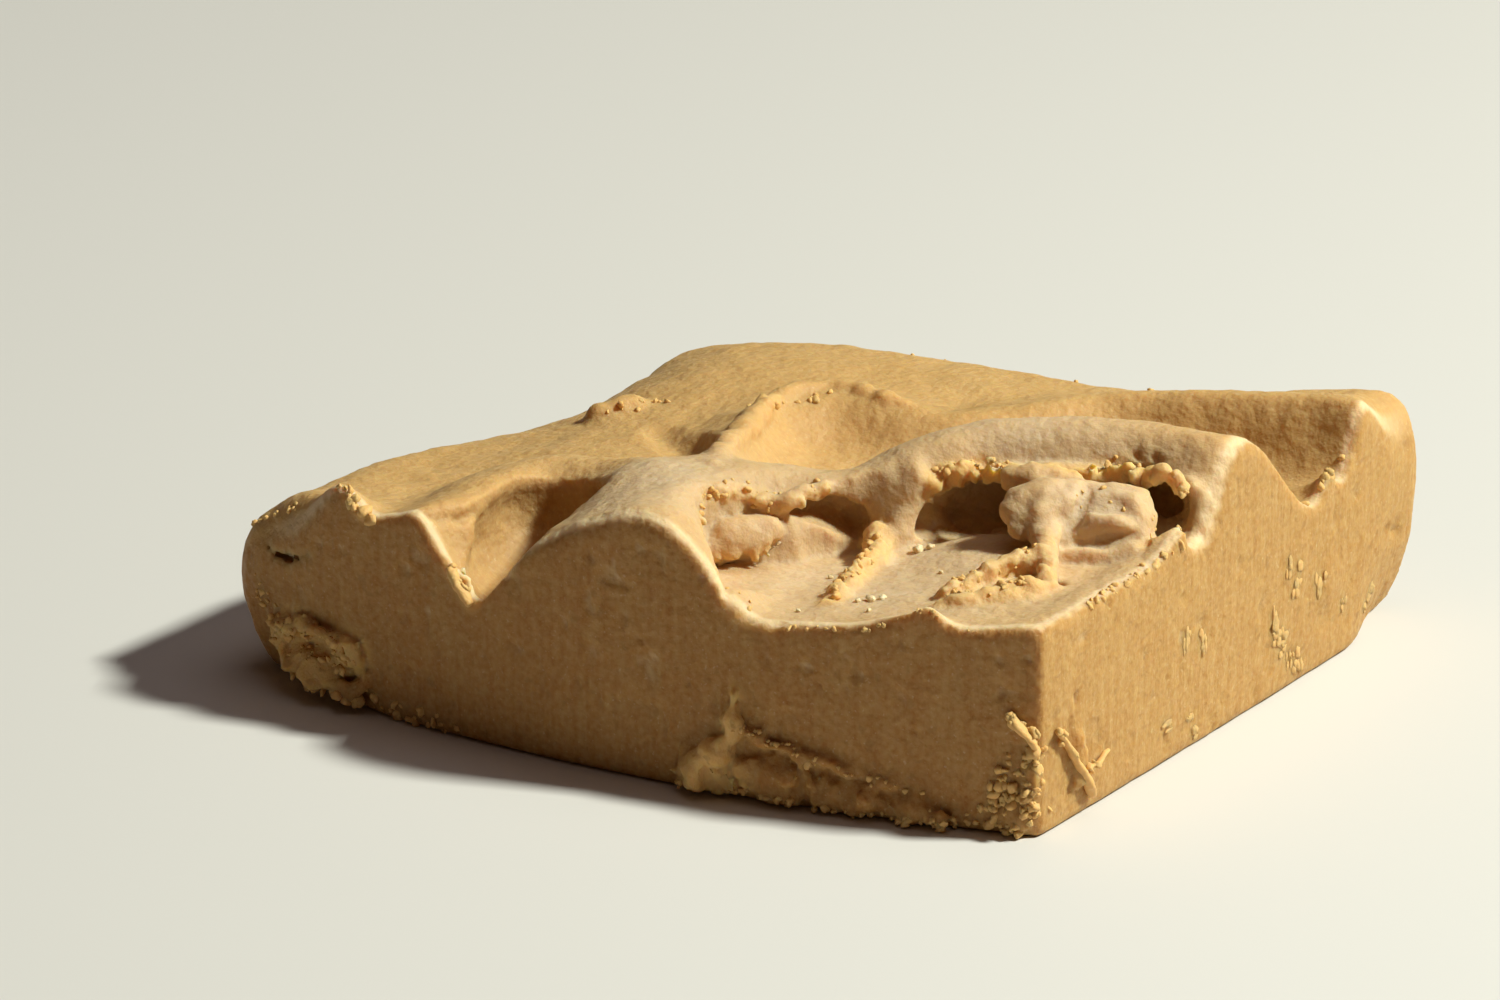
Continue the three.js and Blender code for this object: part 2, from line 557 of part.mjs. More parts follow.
function blankSolid() {
  const count = outline.length;
  const positions = [];
  for (const { z, tuck } of LEVELS) {
    outline.forEach(({ x, y }, index) => {
      const before = outline[(index + count - 1) % count];
      const after = outline[(index + 1) % count];
      const length = Math.hypot(after.x - before.x, after.y - before.y);
      const inset = (tuck * mix(CUT_TUCK, LOAF_TUCK, loafShare(x, y))) / length;
      positions.push(x - (after.y - before.y) * inset, y + (after.x - before.x) * inset, z);
    });
  }
  const triangles = [];
  for (let level = 0; level + 1 < LEVELS.length; level += 1) {
    for (let i = 0; i < count; i += 1) {
      const a = level * count + i;
      const b = level * count + ((i + 1) % count);
      triangles.push(a, b, b + count, a, b + count, a + count);
    }
  }
  const capPoints = outline.map(({ x, y }) => new THREE.Vector2(x, y));
  const top = (LEVELS.length - 1) * count;
  for (const [a, b, c] of THREE.ShapeUtils.triangulateShape(capPoints, [])) {
    triangles.push(a, c, b, top + a, top + b, top + c);
  }
  return toManifold(positions, triangles);
}

// A faceted lump with uneven corners, different for each number
function lumpSolid({ at, size }, number) {
  const ball = new THREE.IcosahedronGeometry(1, 1);
  ball.deleteAttribute('normal');
  ball.deleteAttribute('uv');
  const merged = mergeVertices(ball);
  const corners = merged.attributes.position;
  const positions = [];
  for (let i = 0; i < corners.count; i += 1) {
    const swell = 1 + LUMP_ROUGHNESS * Math.sin(12.9 * number + 4.7 * i + 2.3 * corners.getX(i));
    positions.push(
      at[0] + corners.getX(i) * size[0] * swell,
      at[1] + corners.getY(i) * size[1] * swell,
      Math.max(at[2] + corners.getZ(i) * size[2] * swell, LUMP_LOWEST));
  }
  return toManifold(positions, Array.from(merged.index.array));
}

function largestBody(solid) {
  return solid.decompose().reduce((a, b) => (a.volume() > b.volume() ? a : b));
}

function toGeometry(solid) {
  const mesh = solid.getMesh();
  const geometry = new THREE.BufferGeometry();
  geometry.setAttribute('position', new THREE.BufferAttribute(mesh.vertProperties, 3));
  geometry.setIndex(new THREE.BufferAttribute(mesh.triVerts, 1));
  return mergeVertices(geometry);
}

function fudgeSlab() {
  const swirled = largestBody(blankSolid().subtract(largestBody(airSolid())));
  const solid = LUMPS.reduce((slab, lump, index) => slab.add(lumpSolid(lump, index)), swirled);
  const material = new THREE.MeshStandardMaterial({ color: 0xc99f68, roughness: 0.55, metalness: 0 });
  const slab = new THREE.Mesh(toGeometry(solid), material);
  slab.name = 'fudge_slab';
  slab.position.set(-MIDDLE.x, -MIDDLE.y, 0);
  return slab;
}

const group = new THREE.Group();
group.add(fudgeSlab());

export default group;
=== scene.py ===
"""A slab of penuche fudge, cut from a loaf, with a spatula-swirled top.

The slab is traced as one surface from a field: a plan outline with tucked-in sides, a top height
made of swells, crests and scoops, hollows carved under the lips, and strands laid over them.
Lengths in this file are millimetres in the slab's own plan, and become metres in the meshes.
"""

import math

import bmesh
import bpy
import numpy as np
from mathutils import Matrix, Vector
from mathutils.kdtree import KDTree


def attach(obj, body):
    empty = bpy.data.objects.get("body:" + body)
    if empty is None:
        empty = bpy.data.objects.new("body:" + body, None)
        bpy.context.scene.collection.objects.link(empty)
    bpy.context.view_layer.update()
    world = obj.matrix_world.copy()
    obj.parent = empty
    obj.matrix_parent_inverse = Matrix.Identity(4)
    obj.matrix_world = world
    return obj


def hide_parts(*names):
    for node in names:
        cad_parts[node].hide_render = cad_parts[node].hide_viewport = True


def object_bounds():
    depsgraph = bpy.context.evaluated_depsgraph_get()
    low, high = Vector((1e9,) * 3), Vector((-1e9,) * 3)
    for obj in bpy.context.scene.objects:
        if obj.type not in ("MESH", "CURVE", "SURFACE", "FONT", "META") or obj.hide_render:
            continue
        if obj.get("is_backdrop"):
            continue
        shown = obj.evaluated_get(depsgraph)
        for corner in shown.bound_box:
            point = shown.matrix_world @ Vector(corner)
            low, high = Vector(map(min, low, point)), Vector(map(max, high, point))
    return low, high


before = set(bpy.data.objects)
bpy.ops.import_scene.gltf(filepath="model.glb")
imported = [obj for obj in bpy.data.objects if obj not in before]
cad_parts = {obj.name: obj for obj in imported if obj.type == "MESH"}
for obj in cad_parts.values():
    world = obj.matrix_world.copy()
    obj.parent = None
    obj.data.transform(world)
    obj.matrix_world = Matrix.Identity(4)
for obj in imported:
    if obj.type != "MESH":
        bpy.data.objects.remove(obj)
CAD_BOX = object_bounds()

bl_info = {
    "name": "Penuche fudge slab",
    "version": (1, 0, 0),
    "blender": (4, 5, 0),
    "location": "View3D > Sidebar > Fudge",
    "description": "Builds a hand-cut slab of penuche fudge, its crumbs and flakes, and a studio stage",
    "category": "Add Mesh",
}

MM = 0.001

# Middle of the box round the slab, in the plan that the dimensions below are drawn in
MIDDLE = (-2.3, -1.25)

# Plan of the slab: corners with their roundness, and how far each side bows outward
NEAR_CORNER = (46.5, -38.5, 0.8)
RIGHT_CORNER = (49.8, 43.8, 4.0)
FAR_CORNER = (-41.0, 41.0, 7.0)
LEFT_CORNER = (-55.0, -38.4, 4.5)
RIGHT_BOW = 0.4
BACK_BOW = 0.8
LEFT_BOW = 1.0
SIDE_STEPS = 14
CORNER_STEPS = 4
# Share of the tuck that is left at each height: the base is tucked in
TUCK_HEIGHTS = (0.0, 1.2, 4.0, 9.0, 15.0)
TUCK_SHARES = (1.0, 0.72, 0.42, 0.12, 0.0)
CUT_TUCK = 0.4
LOAF_TUCK = 4.2
# Where the loaf's outer edges start and are whole, along x and y, and how round the rim is on the cut sides
# and on them
LEFT_EDGE = (-30, -48)
BACK_EDGE = (26, 39)
CUT_ROUND = 0.5
LOAF_ROUND = 3.4
# Where the arch runs softly over the right cut face, and the front hump over the long one, as x, y, half
# widths, and roundness added
SOFT_RIM = ((48, -3.6, 5, 6, 1.7), (0, -44, 16, 6, 0.5))

# How much of the height over the top counts as distance from it, because the top slopes
TOP_SLOPE = 0.7

# Broad swells and hollows of the top, as x, y, half widths along x and y, rise
SWELLS = (
    (-20, 18, 18, 16, 2.2),
    (50, 40, 22, 13, 5.8),
    (-42, -8, 12, 18, -1.6),
    (-50, 20, 13, 20, -8.4),
    (-34, 45, 14, 9, -3.4),
    (-38.2, -43, 3.6, 4.2, 3.9),
    (-41, -43, 10, 8, 3),
    (-53, -34, 5, 14, -2.4),
    (-20, -13, 12, 12, 1.6),
    (-30.6, -43, 2.6, 3.4, 1.2),
    (4, 28, 14, 9, 1.3),
    (6, 46, 16, 6, -1),
)

# Crests of the swirl, as x, y, height
MAIN_CREST = (
    (57, 3, 32.2), (48, 1.2, 32.2), (38, 0.4, 32.3), (32.5, -1.1, 32.3), (23, -5.2, 31.8),
    (17, -10.5, 30.4), (12, -16.3, 27.6), (8, -18.2, 27.2), (4, -20.4, 27.8), (0.3, -25.5, 28.6),
    (-0.6, -33, 29.2), (2.2, -44, 30), (2.6, -56, 30),
)
BACK_CREST = (
    (-3, -23, 27), (-7, -13, 25.6), (-9.7, -6, 25), (-13, 3.5, 23.8), (-13, 8.5, 23), (-9, 14.4, 23.4),
    (-4, 15.6, 23.4), (5, 16, 23), (11, 21, 23.4), (18, 28, 24), (28.5, 30.2, 25.4), (38, 30.8, 26.6),
    (48, 30.2, 28), (57, 30, 28),
)
LEFT_CREST = (
    (-26.5, -56, 24.4), (-26, -43.5, 24.6), (-25.8, -36, 24.5), (-25.6, -28, 24.4), (-23.8, -21.4, 24.3),
    (-15.8, -20.5, 25.2), (-6, -26, 28),
)
# How far the back crest reaches, and how the left crest falls away and blends with the ground
BACK_CREST_REACH = 5
LEFT_CREST_FALL = 0.12
LEFT_CREST_POWER = 1.6
LEFT_CREST_BLEND = 1.5
# Edge of the lip over the main scoop, walked from the front to the right
MAIN_LIP = (
    (12, -58), (10.6, -44.5), (6.6, -39.5), (2.4, -34), (0.9, -30), (2.1, -25.4), (4.2, -24.2),
    (6, -23.6), (7.8, -22.8), (9.2, -20.4), (11, -17.4), (14, -15.8), (17.6, -15.2), (19.6, -12.8),
    (23.5, -9.4), (28, -8.6), (33.2, -7), (36.5, -3.6), (41, -2.6), (44.6, -3.8), (47.4, -4.8),
    (50, -6.6), (58, -12),
)
CURVE_STEPS = 90

# Main scoop: floor height, where it starts to rise to the right and to the front, and how steeply
MAIN_FLOOR = 19.0
FLOOR_LOW_X = 14.0
FLOOR_RISE_X = 0.11
FLOOR_LOW_Y = -20.0
FLOOR_RISE_Y = 0.045
# Banks and rims on its floor, as x, y, half widths along x and y, rise
FLOOR_SWELLS = (
    (34.4, -42, 2, 3, 2.2), (31, -42, 3.2, 3, 1.3), (48, -9.4, 2.6, 4, 2.6),
    (11.4, -42, 2.4, 5, 2.4), (27.5, -15.5, 9, 9, 1.9),
)
# How wide its wall is along the lip and at the right cut face, and the x between which it widens
MAIN_WALL = 0.9
WALL_END = 7.0
WALL_WIDENS = (45.6, 48.4)
# Where the wall is a softer bank, as x, y, half widths, and width added
SOFT_WALLS = ((14.6, -15.6, 3.2, 3, 1.6), (3.2, -25.2, 3.8, 3.4, 3.4))
# The thin right rim: its height, and the x between which the floor rises to it
RIGHT_RIM_HEIGHT = 23.4
RIGHT_RIM_INNER = 41.0
RIGHT_RIM_OUTER = 46.0
# The crest falls away in front by rounding times distance squared, out to its reach, and behind over
# its slope. Each is given for the front hump and for the arch, and turns from one to the other between
HUMP_END = (-41, -33)
CREST_ROUNDING = (0.09, 0.26)
CREST_REACH = (8.0, 3.6)
CREST_SLOPE = (24.0, 18.5)

# Back scoop, between the main crest and the back crest
BACK_FLOOR = 19.0
BACK_WALL = 9.0
BACK_SHELVES = ((51, 21.6, 4.5, 2, 4.4), (51, 27, 4.5, 2, -1))

# Left scoop: a short trough under the left crest's lip, as x, y, floor height, radius, steepness
LEFT_SCOOP = (
    (-20.3, -58, 14, 8.7, 1.05), (-19.2, -43.8, 15.9, 8.7, 1.05), (-18.4, -38.4, 16.6, 6.4, 2.6),
    (-18.2, -32, 17.6, 6.2, 5), (-19.2, -29, 18.6, 5.6, 6), (-14.8, -31.2, 20.4, 4.4, 6),
)
LEFT_SCOOP_RISE = 10.0
LEFT_SCOOP_BLEND = 1

# Hollows under the lips and beside the roll in the main scoop, as x, y, z, radius
CAVES = (
    ((7.4, -22.4, 24.6, 0.7), (8.8, -20.6, 24.2, 1.4), (10.6, -18.8, 23.4, 1.9),
     (12.4, -18, 22, 1.6)),
    ((7.6, -20.6, 24.8, 0.9), (9.6, -18, 24, 1.5), (11.8, -16.4, 22.8, 1.6)),
    ((18.6, -14.4, 23, 2.2), (22, -10.8, 23.2, 2.9), (27, -8.8, 23.5, 3), (31, -8, 23.8, 3)),
    ((21.6, -9.5, 23.2, 2.8), (25.6, -5, 23.6, 3), (30, -4, 24, 3)),
    ((34, -6, 24.6, 3), (38, -3.6, 25.2, 3.2), (42.4, -4.8, 25.4, 3), (44.6, -7, 25.2, 2.4),
     (46.2, -7.4, 25.4, 1.8)),
    ((33.5, -1.5, 24.8, 3), (38, 1.2, 25, 3.2), (42, 0.6, 25, 2.8)),
    ((37, -5.6, 26.6, 2), (40.2, -4.8, 27, 2.4), (43, -6, 27, 2), (46.8, -6, 27.2, 1.5)),
    ((37.2, -25, 21.6, 1.1), (39, -23, 21.9, 1.2)),
)
# The left scoop goes back under the left crest as one smooth bowl
LEFT_BOWL = (
    (-19, -41, 16.6, 1.8), (-19.6, -38, 18.2, 3.6), (-20.2, -34, 19.4, 4.9), (-19.6, -29.4, 20.2, 5.4),
    (-16, -29, 21.2, 4.6), (-12.8, -31.2, 22.2, 3),
)
# Left edge of the spatula's sheet, where the ground steps down towards the loaf's side
SHEET_EDGE = ((-36.4, -12, 20.6, 0.7), (-35.2, -6, 20.9, 1.1), (-34, -1, 21, 0.9))
# The lit right edge of the column left of the middle hollow, from the arch down to the floor
COLUMN_EDGE = (
    (17.6, -13.8, 27.4, 1.5), (17.3, -14.8, 24.4, 1.3), (16.4, -16.4, 21.4, 1.6),
    (15.2, -17.6, 20.2, 1.6),
)
# Strands and lumps of fudge that lie on the top or were pulled over the hollows, as x, y, z, radius
STRANDS = (
    ((15, -17.6, 21, 1.6), (17, -21.8, 20.4, 1.2), (18.2, -27, 20.1, 1), (18.8, -31.4, 20.2, 1.1),
     (19.2, -35.4, 20, 0.9)),
    ((1.4, -28, 27.3, 0.7), (2.8, -25.4, 26.8, 0.8), (4.6, -24.1, 26, 0.8), (6, -23.8, 24.9, 1),
     (7.2, -23.1, 25.7, 0.8), (8.2, -21.8, 26.3, 0.7), (9.6, -20, 26.6, 0.8)),
    ((27.4, -11.2, 28.3, 1.1), (30, -10.4, 28.5, 1.3), (33.2, -8.8, 28.4, 1.2)),
    ((30.8, -14.2, 26.8, 2), (32.6, -13, 26.8, 2.6), (35, -11, 26.6, 2.5)),
    ((32.8, -13.6, 25.4, 2.4), (34, -15.4, 24.7, 1.9), (35.8, -18.2, 24, 1.3),
     (38, -22, 23.1, 1.05), (39.6, -25.2, 22.2, 1.1)),
    ((36, -9.4, 26.6, 1.9), (38.6, -8.6, 26.7, 1.9), (40.8, -8, 26.4, 1.9)),
    ((35.6, -10.6, 25, 2.5), (38.6, -10, 24.8, 2.8), (41.2, -9.2, 24.8, 2.6),
     (41.8, -9.8, 23.2, 2.3)),
    ((35.4, -12.8, 24.2, 2), (37.6, -12.2, 24, 2.3), (40.4, -11.2, 24, 2.2)),
    ((36.4, -14, 23, 1.4), (39.4, -13, 23, 1.6), (42.4, -11.6, 23.4, 1.5)),
    ((31.6, -33.2, 21.7, 0.7), (35, -30.8, 22.1, 1.4), (38.6, -27.2, 22.3, 1.6)),
    ((30.6, -30.6, 21.8, 0.7), (31.8, -26.8, 22.4, 1), (33.6, -23.2, 23.1, 1),
     (35.8, -20, 23.6, 1.1)),
    ((-32.5, 4, 19.6, 1.8), (-30, 6.4, 20.4, 1.6)),
    ((7.4, 41.3, 20.2, 1.5), (9.6, 41.5, 20.4, 1.2)),
    ((-0.6, 41.6, 19.8, 1.1), (1, 41.6, 19.8, 1)),
)

# Finer folds laid on the top, as x, y, z, radius: the back ridge, the tongue, the block beside it, the
# ledge in the main scoop, and the lip over the middle hollow
FOLDS = (
    ((-1.8, -23.6, 27.7, 1), (-4, -19, 27.1, 1.2), (-8.1, -9.4, 25, 1.4), (-10, -3.2, 24.4, 1.4),
     (-11.6, 1.4, 23.8, 1.5), (-12.6, 5, 23.4, 1.5), (-13.6, 9, 22.9, 1.4), (-13.4, 13.2, 22.8, 1.3),
     (-11, 16.6, 22.8, 1.3), (-7.5, 17, 23, 1.2), (-3.8, 16, 23.1, 1.1), (-0.6, 16, 22.8, 0.9)),
    ((30.3, -15.7, 26, 1.5), (31.2, -14.8, 27.3, 1.3), (32.8, -13.4, 28.1, 1.2),
     (35, -10.8, 28, 1.1)),
    ((31.8, -16.6, 24.9, 1.3), (33.4, -15.6, 26.4, 1.3), (35.2, -13.2, 27.2, 1.3),
     (36.2, -11, 27.4, 1)),
    ((37.6, -10.8, 27.3, 1.1), (39.3, -9.8, 27.6, 1.1), (41.2, -9.4, 27.3, 1.1),
     (42.6, -10.4, 25.8, 1), (43, -11.2, 24.4, 1)),
    ((38.6, -13, 25.6, 1.1), (40.6, -12.4, 25.9, 1.2), (42, -11.8, 25.4, 1)),
    ((36.8, -16, 22.6, 1), (40.4, -14.4, 22.9, 1.3), (43, -13, 23, 1.1)),
    ((1.2, -30.6, 21.4, 1.4), (2.6, -28.6, 22.1, 2.1), (4.2, -27, 22.3, 2.1),
     (6.2, -25.3, 22.8, 1.5)),
    ((27.4, -10.8, 27.4, 0.9), (30.4, -10.6, 27.7, 1), (34, -8.6, 27.9, 0.9)),
)
# Sharp creases between the folds, notches in the lips, and the crack left of the left scoop, as x, y, z,
# radius
CREASES = (
    ((36.8, -10.6, 28.6, 0.5), (37, -12.6, 27.2, 0.7), (37, -13.8, 26, 0.8), (36.6, -15, 24.8, 0.6)),
    ((36.4, -15.8, 23.9, 0.6), (38.4, -14.9, 24.1, 0.8), (40.8, -13.9, 24.4, 0.8),
     (43.2, -12.2, 24.8, 0.5)),
    ((38.4, -12.8, 26.8, 0.35), (40.4, -12, 27.2, 0.45), (42, -11, 26.9, 0.3)),
    ((33.8, -24.4, 22.6, 0.5), (35.4, -23.2, 22.4, 0.9), (37.4, -23.4, 22.8, 0.9),
     (38.8, -25, 23.4, 0.6)),
    ((3.2, -26.2, 27, 0.5), (3.8, -25.8, 26.8, 0.4)),
    ((38, -2.8, 30, 0.45), (38.4, -2.8, 29.6, 0.4)),
    ((39.9, -2.5, 30, 0.5), (40.4, -2.6, 29.6, 0.4)),
    ((-26.4, -42.2, 24.1, 0.3), (-25.4, -41.2, 23.5, 0.5), (-24.7, -39.7, 23.1, 0.55),
     (-24, -38.1, 22.7, 0.5), (-23.9, -35.8, 22.8, 0.25)),
)
# The trough to the left of the back ridge, as x, y, z, radius
TROUGH = ((-22, -1, 22.8, 2), (-17.4, -5, 23.4, 2.6), (-13.6, -8.6, 24.2, 2.7), (-11, -13, 25.2, 2.2))
# Roughness, blend with what is there already, and first noise seed of each kind of hollow and strand
BOWL_FINISH = (0.1, 0.8, 19)
SHEET_FINISH = (0.2, 0.8, 18)
CAVE_FINISH = (0.35, 0.8, 20)
COLUMN_FINISH = (0.1, 1.4, 35)
STRAND_FINISH = (0.3, 1.0, 40)
TROUGH_FINISH = (0.1, 1.0, 99)
FOLD_FINISH = (0.35, 0.5, 100)
CREASE_FINISH = (0.25, 0.5, 120)
LEDGE_FINISH = (0.6, 0.3, 140)
HOLE_FINISH = (0.15, 0.3, 90)
# Spacing of that roughness in a hollow and on a strand, and how far round it the field is changed
HOLLOW_GRAIN = 1.3
STRAND_GRAIN = 1.6
STRAND_MARGIN = 3
# Teeth along torn edges: how many, their half width and height, and their run as x, y, z. Then how far they
# stray, their least and largest share of that size, and their roughness
TEETH = (
    (34, 0.45, 0.95, ((18.4, -13.8, 25.6), (19.6, -12.8, 27), (20.8, -11.6, 27.5),
                      (23, -10.6, 27.9), (25.6, -10.2, 28.2))),
    (48, 0.42, 0.75, ((34, -7.2, 28.1), (36.6, -5.6, 28.5), (39.2, -5.2, 28.8), (42.8, -5.2, 29.1),
                      (45.6, -5.6, 28.5), (46.9, -6.4, 27.4))),
    (16, 0.4, 0.6, ((47, -7.4, 26.8), (46.8, -9, 25.2), (45.8, -11, 24), (44.6, -12.4, 23.6))),
    (44, 0.45, 0.6, ((0.6, -29.8, 27.2), (2.6, -26, 26.6), (4.6, -24.7, 26), (6, -24.3, 24.7),
                     (7.6, -23.4, 25.6), (10, -20.4, 26.3))),
    (34, 0.6, 0.5, ((14.8, -17.8, 21.6), (16.2, -20.6, 21.2), (17.4, -24, 21), (18.2, -29, 21),
                    (18.8, -34, 20.8))),
    (24, 0.5, 0.5, ((30.6, -30.8, 22.4), (31.8, -27.2, 23), (33.4, -23.8, 23.7), (35.6, -20.4, 24.2))),
    (18, 0.55, 0.7, ((35.4, -17.6, 24.6), (37.2, -20.8, 23.9), (38.8, -23.6, 23.2),
                     (40, -25.8, 22.6))),
    (16, 0.45, 0.4, ((2, -31.4, 20.8), (3.8, -29.8, 20.8), (5.6, -28, 21), (7.2, -26.2, 21.6))),
    (30, 0.5, 0.4, ((-1.4, -30.4, 27.4), (2.2, -34.4, 25.6), (5.6, -38.4, 23.8), (8.6, -41.4, 21.6),
                    (12, -43.6, 20.4), (16.6, -44.2, 19.7))),
    (9, 0.6, 0.6, ((-37.8, -42, 25.8), (-36, -42.3, 24), (-33.6, -42.6, 22.4))),
    (9, 0.6, 0.8, ((-22.4, -43.4, 19.2), (-20.8, -43.8, 17.4), (-19.4, -44, 15.8))),
    (7, 0.7, 0.6, ((-11.6, 1.4, 24.2), (-12.6, 5, 24), (-13.4, 8.6, 23.6))),
)
TOOTH_STRAY = 0.35
TOOTH_SHAPE = (0.5, 1.3)
TOOTH_ROUGHNESS = 2.4

# Rough lumps where the cut faces broke, as centre x, y, z and half sizes along x, y, z
LUMPS = (
    ((-44.4, -39.6, 6.6), (3.6, 1.5, 3.2)),
    ((-40.6, -41, 3.8), (4.4, 1.7, 2)),
    ((-37, -41.4, 6.4), (2.2, 1.3, 2.6)),
    ((9.6, -44.4, 2.8), (4.2, 1.7, 2.7)),
    ((16.6, -43.6, 3), (5, 1.7, 2.9)),
    ((24.6, -42.5, 2.2), (5, 1.5, 2.1)),
    ((32, -41.4, 1.6), (4.6, 1.3, 1.5)),
    ((12.4, -44.5, 8), (0.9, 0.8, 3)),
    ((43.4, -38.9, 2.2), (2.2, 1.1, 2)),
    ((45.5, -38.5, 6.4), (1.1, 1, 3.2)),
    ((47, -31.6, 6.6), (0.9, 1.1, 3.4)),
    ((48.7, 22, 9.6), (0.9, 2.2, 2.6)),
)
LUMP_ROUGHNESS = 1.4
# Noise on a lump or tooth, as spacing and strength, how far round it the field is changed, as a share of its
# size and a margin, and its blend
LUMP_GRAINS = ((1.1, 0.22), (0.6, 0.12))
LUMP_REACH = 1.6
LUMP_MARGIN = 1
LUMP_BLEND = 0.4

# Slits and small holes in the faces, as x, y, z, radius
HOLES = (
    ((-48.4, -38.5, 15.3, 0.5), (-46.4, -39, 14.9, 0.8), (-44.4, -39.5, 15.2, 0.85),
     (-41.6, -40.2, 16.3, 0.5)),
    ((-48.2, -39.7, 15.3, 0.3), (-46.4, -40.4, 14.9, 0.45), (-44.4, -41, 15.2, 0.45),
     (-41.6, -41.6, 16.3, 0.3)),
    ((46.6, -32, 13.9, 0.5), (46.9, -31.8, 13, 0.4)),
    ((48.8, 12.6, 4.4, 0.6), (48.9, 13.3, 3.9, 0.6)),
    ((49.5, 36.2, 11, 0.8), (49.5, 38, 10.3, 0.8)),
    ((17, -43.3, 20.1, 0.45), (18, -42.9, 20.2, 0.4)),
    ((-3.4, -44.8, 8.3, 0.4), (-3.1, -44.8, 8, 0.4)),
    ((1.5, -44.8, 16.1, 0.4), (1.7, -44.8, 15.8, 0.3)),
    ((41.9, -39.5, 19.7, 0.4), (42, -39.5, 19.3, 0.3)),
)
# Ledges that stand out of the long cut face, as x, y, z, radius: the spike and its foot, the edge of the
# rough patch beside it, and the upper and lower rims of the left chunk
LEDGES = (
    ((12.9, -44.6, 12.8, 0.3), (13.2, -45, 11, 0.5), (13.3, -45.2, 9.2, 0.6),
     (13.1, -45.2, 7.4, 0.8), (11.4, -45.4, 5.6, 1.2), (9.4, -45.6, 3.6, 1.5), (8.6, -45.6, 1.8, 1.2)),
    ((13.6, -44.6, 7.8, 0.5), (17, -44.3, 7.2, 0.5), (20.2, -43.9, 6.4, 0.55),
     (25, -43.1, 5.3, 0.5), (29.5, -42.2, 4.3, 0.5), (33.6, -41.3, 3.4, 0.4)),
    ((-46.2, -40.6, 6, 0.6), (-45, -41.2, 7.4, 0.8), (-42.7, -41.6, 8.4, 0.8),
     (-39.6, -42.4, 8.2, 0.7), (-36.6, -42.9, 7.5, 0.8), (-34.6, -43, 6, 0.7), (-33.6, -42.9, 4.6, 0.6)),
    ((-46.6, -40.6, 5.4, 0.6), (-45, -41.6, 3.6, 0.9), (-42, -42.4, 2.8, 1), (-38.4, -43, 2.4, 1),
     (-35, -43, 2.8, 0.9), (-33.6, -42.9, 4.2, 0.7)),
)

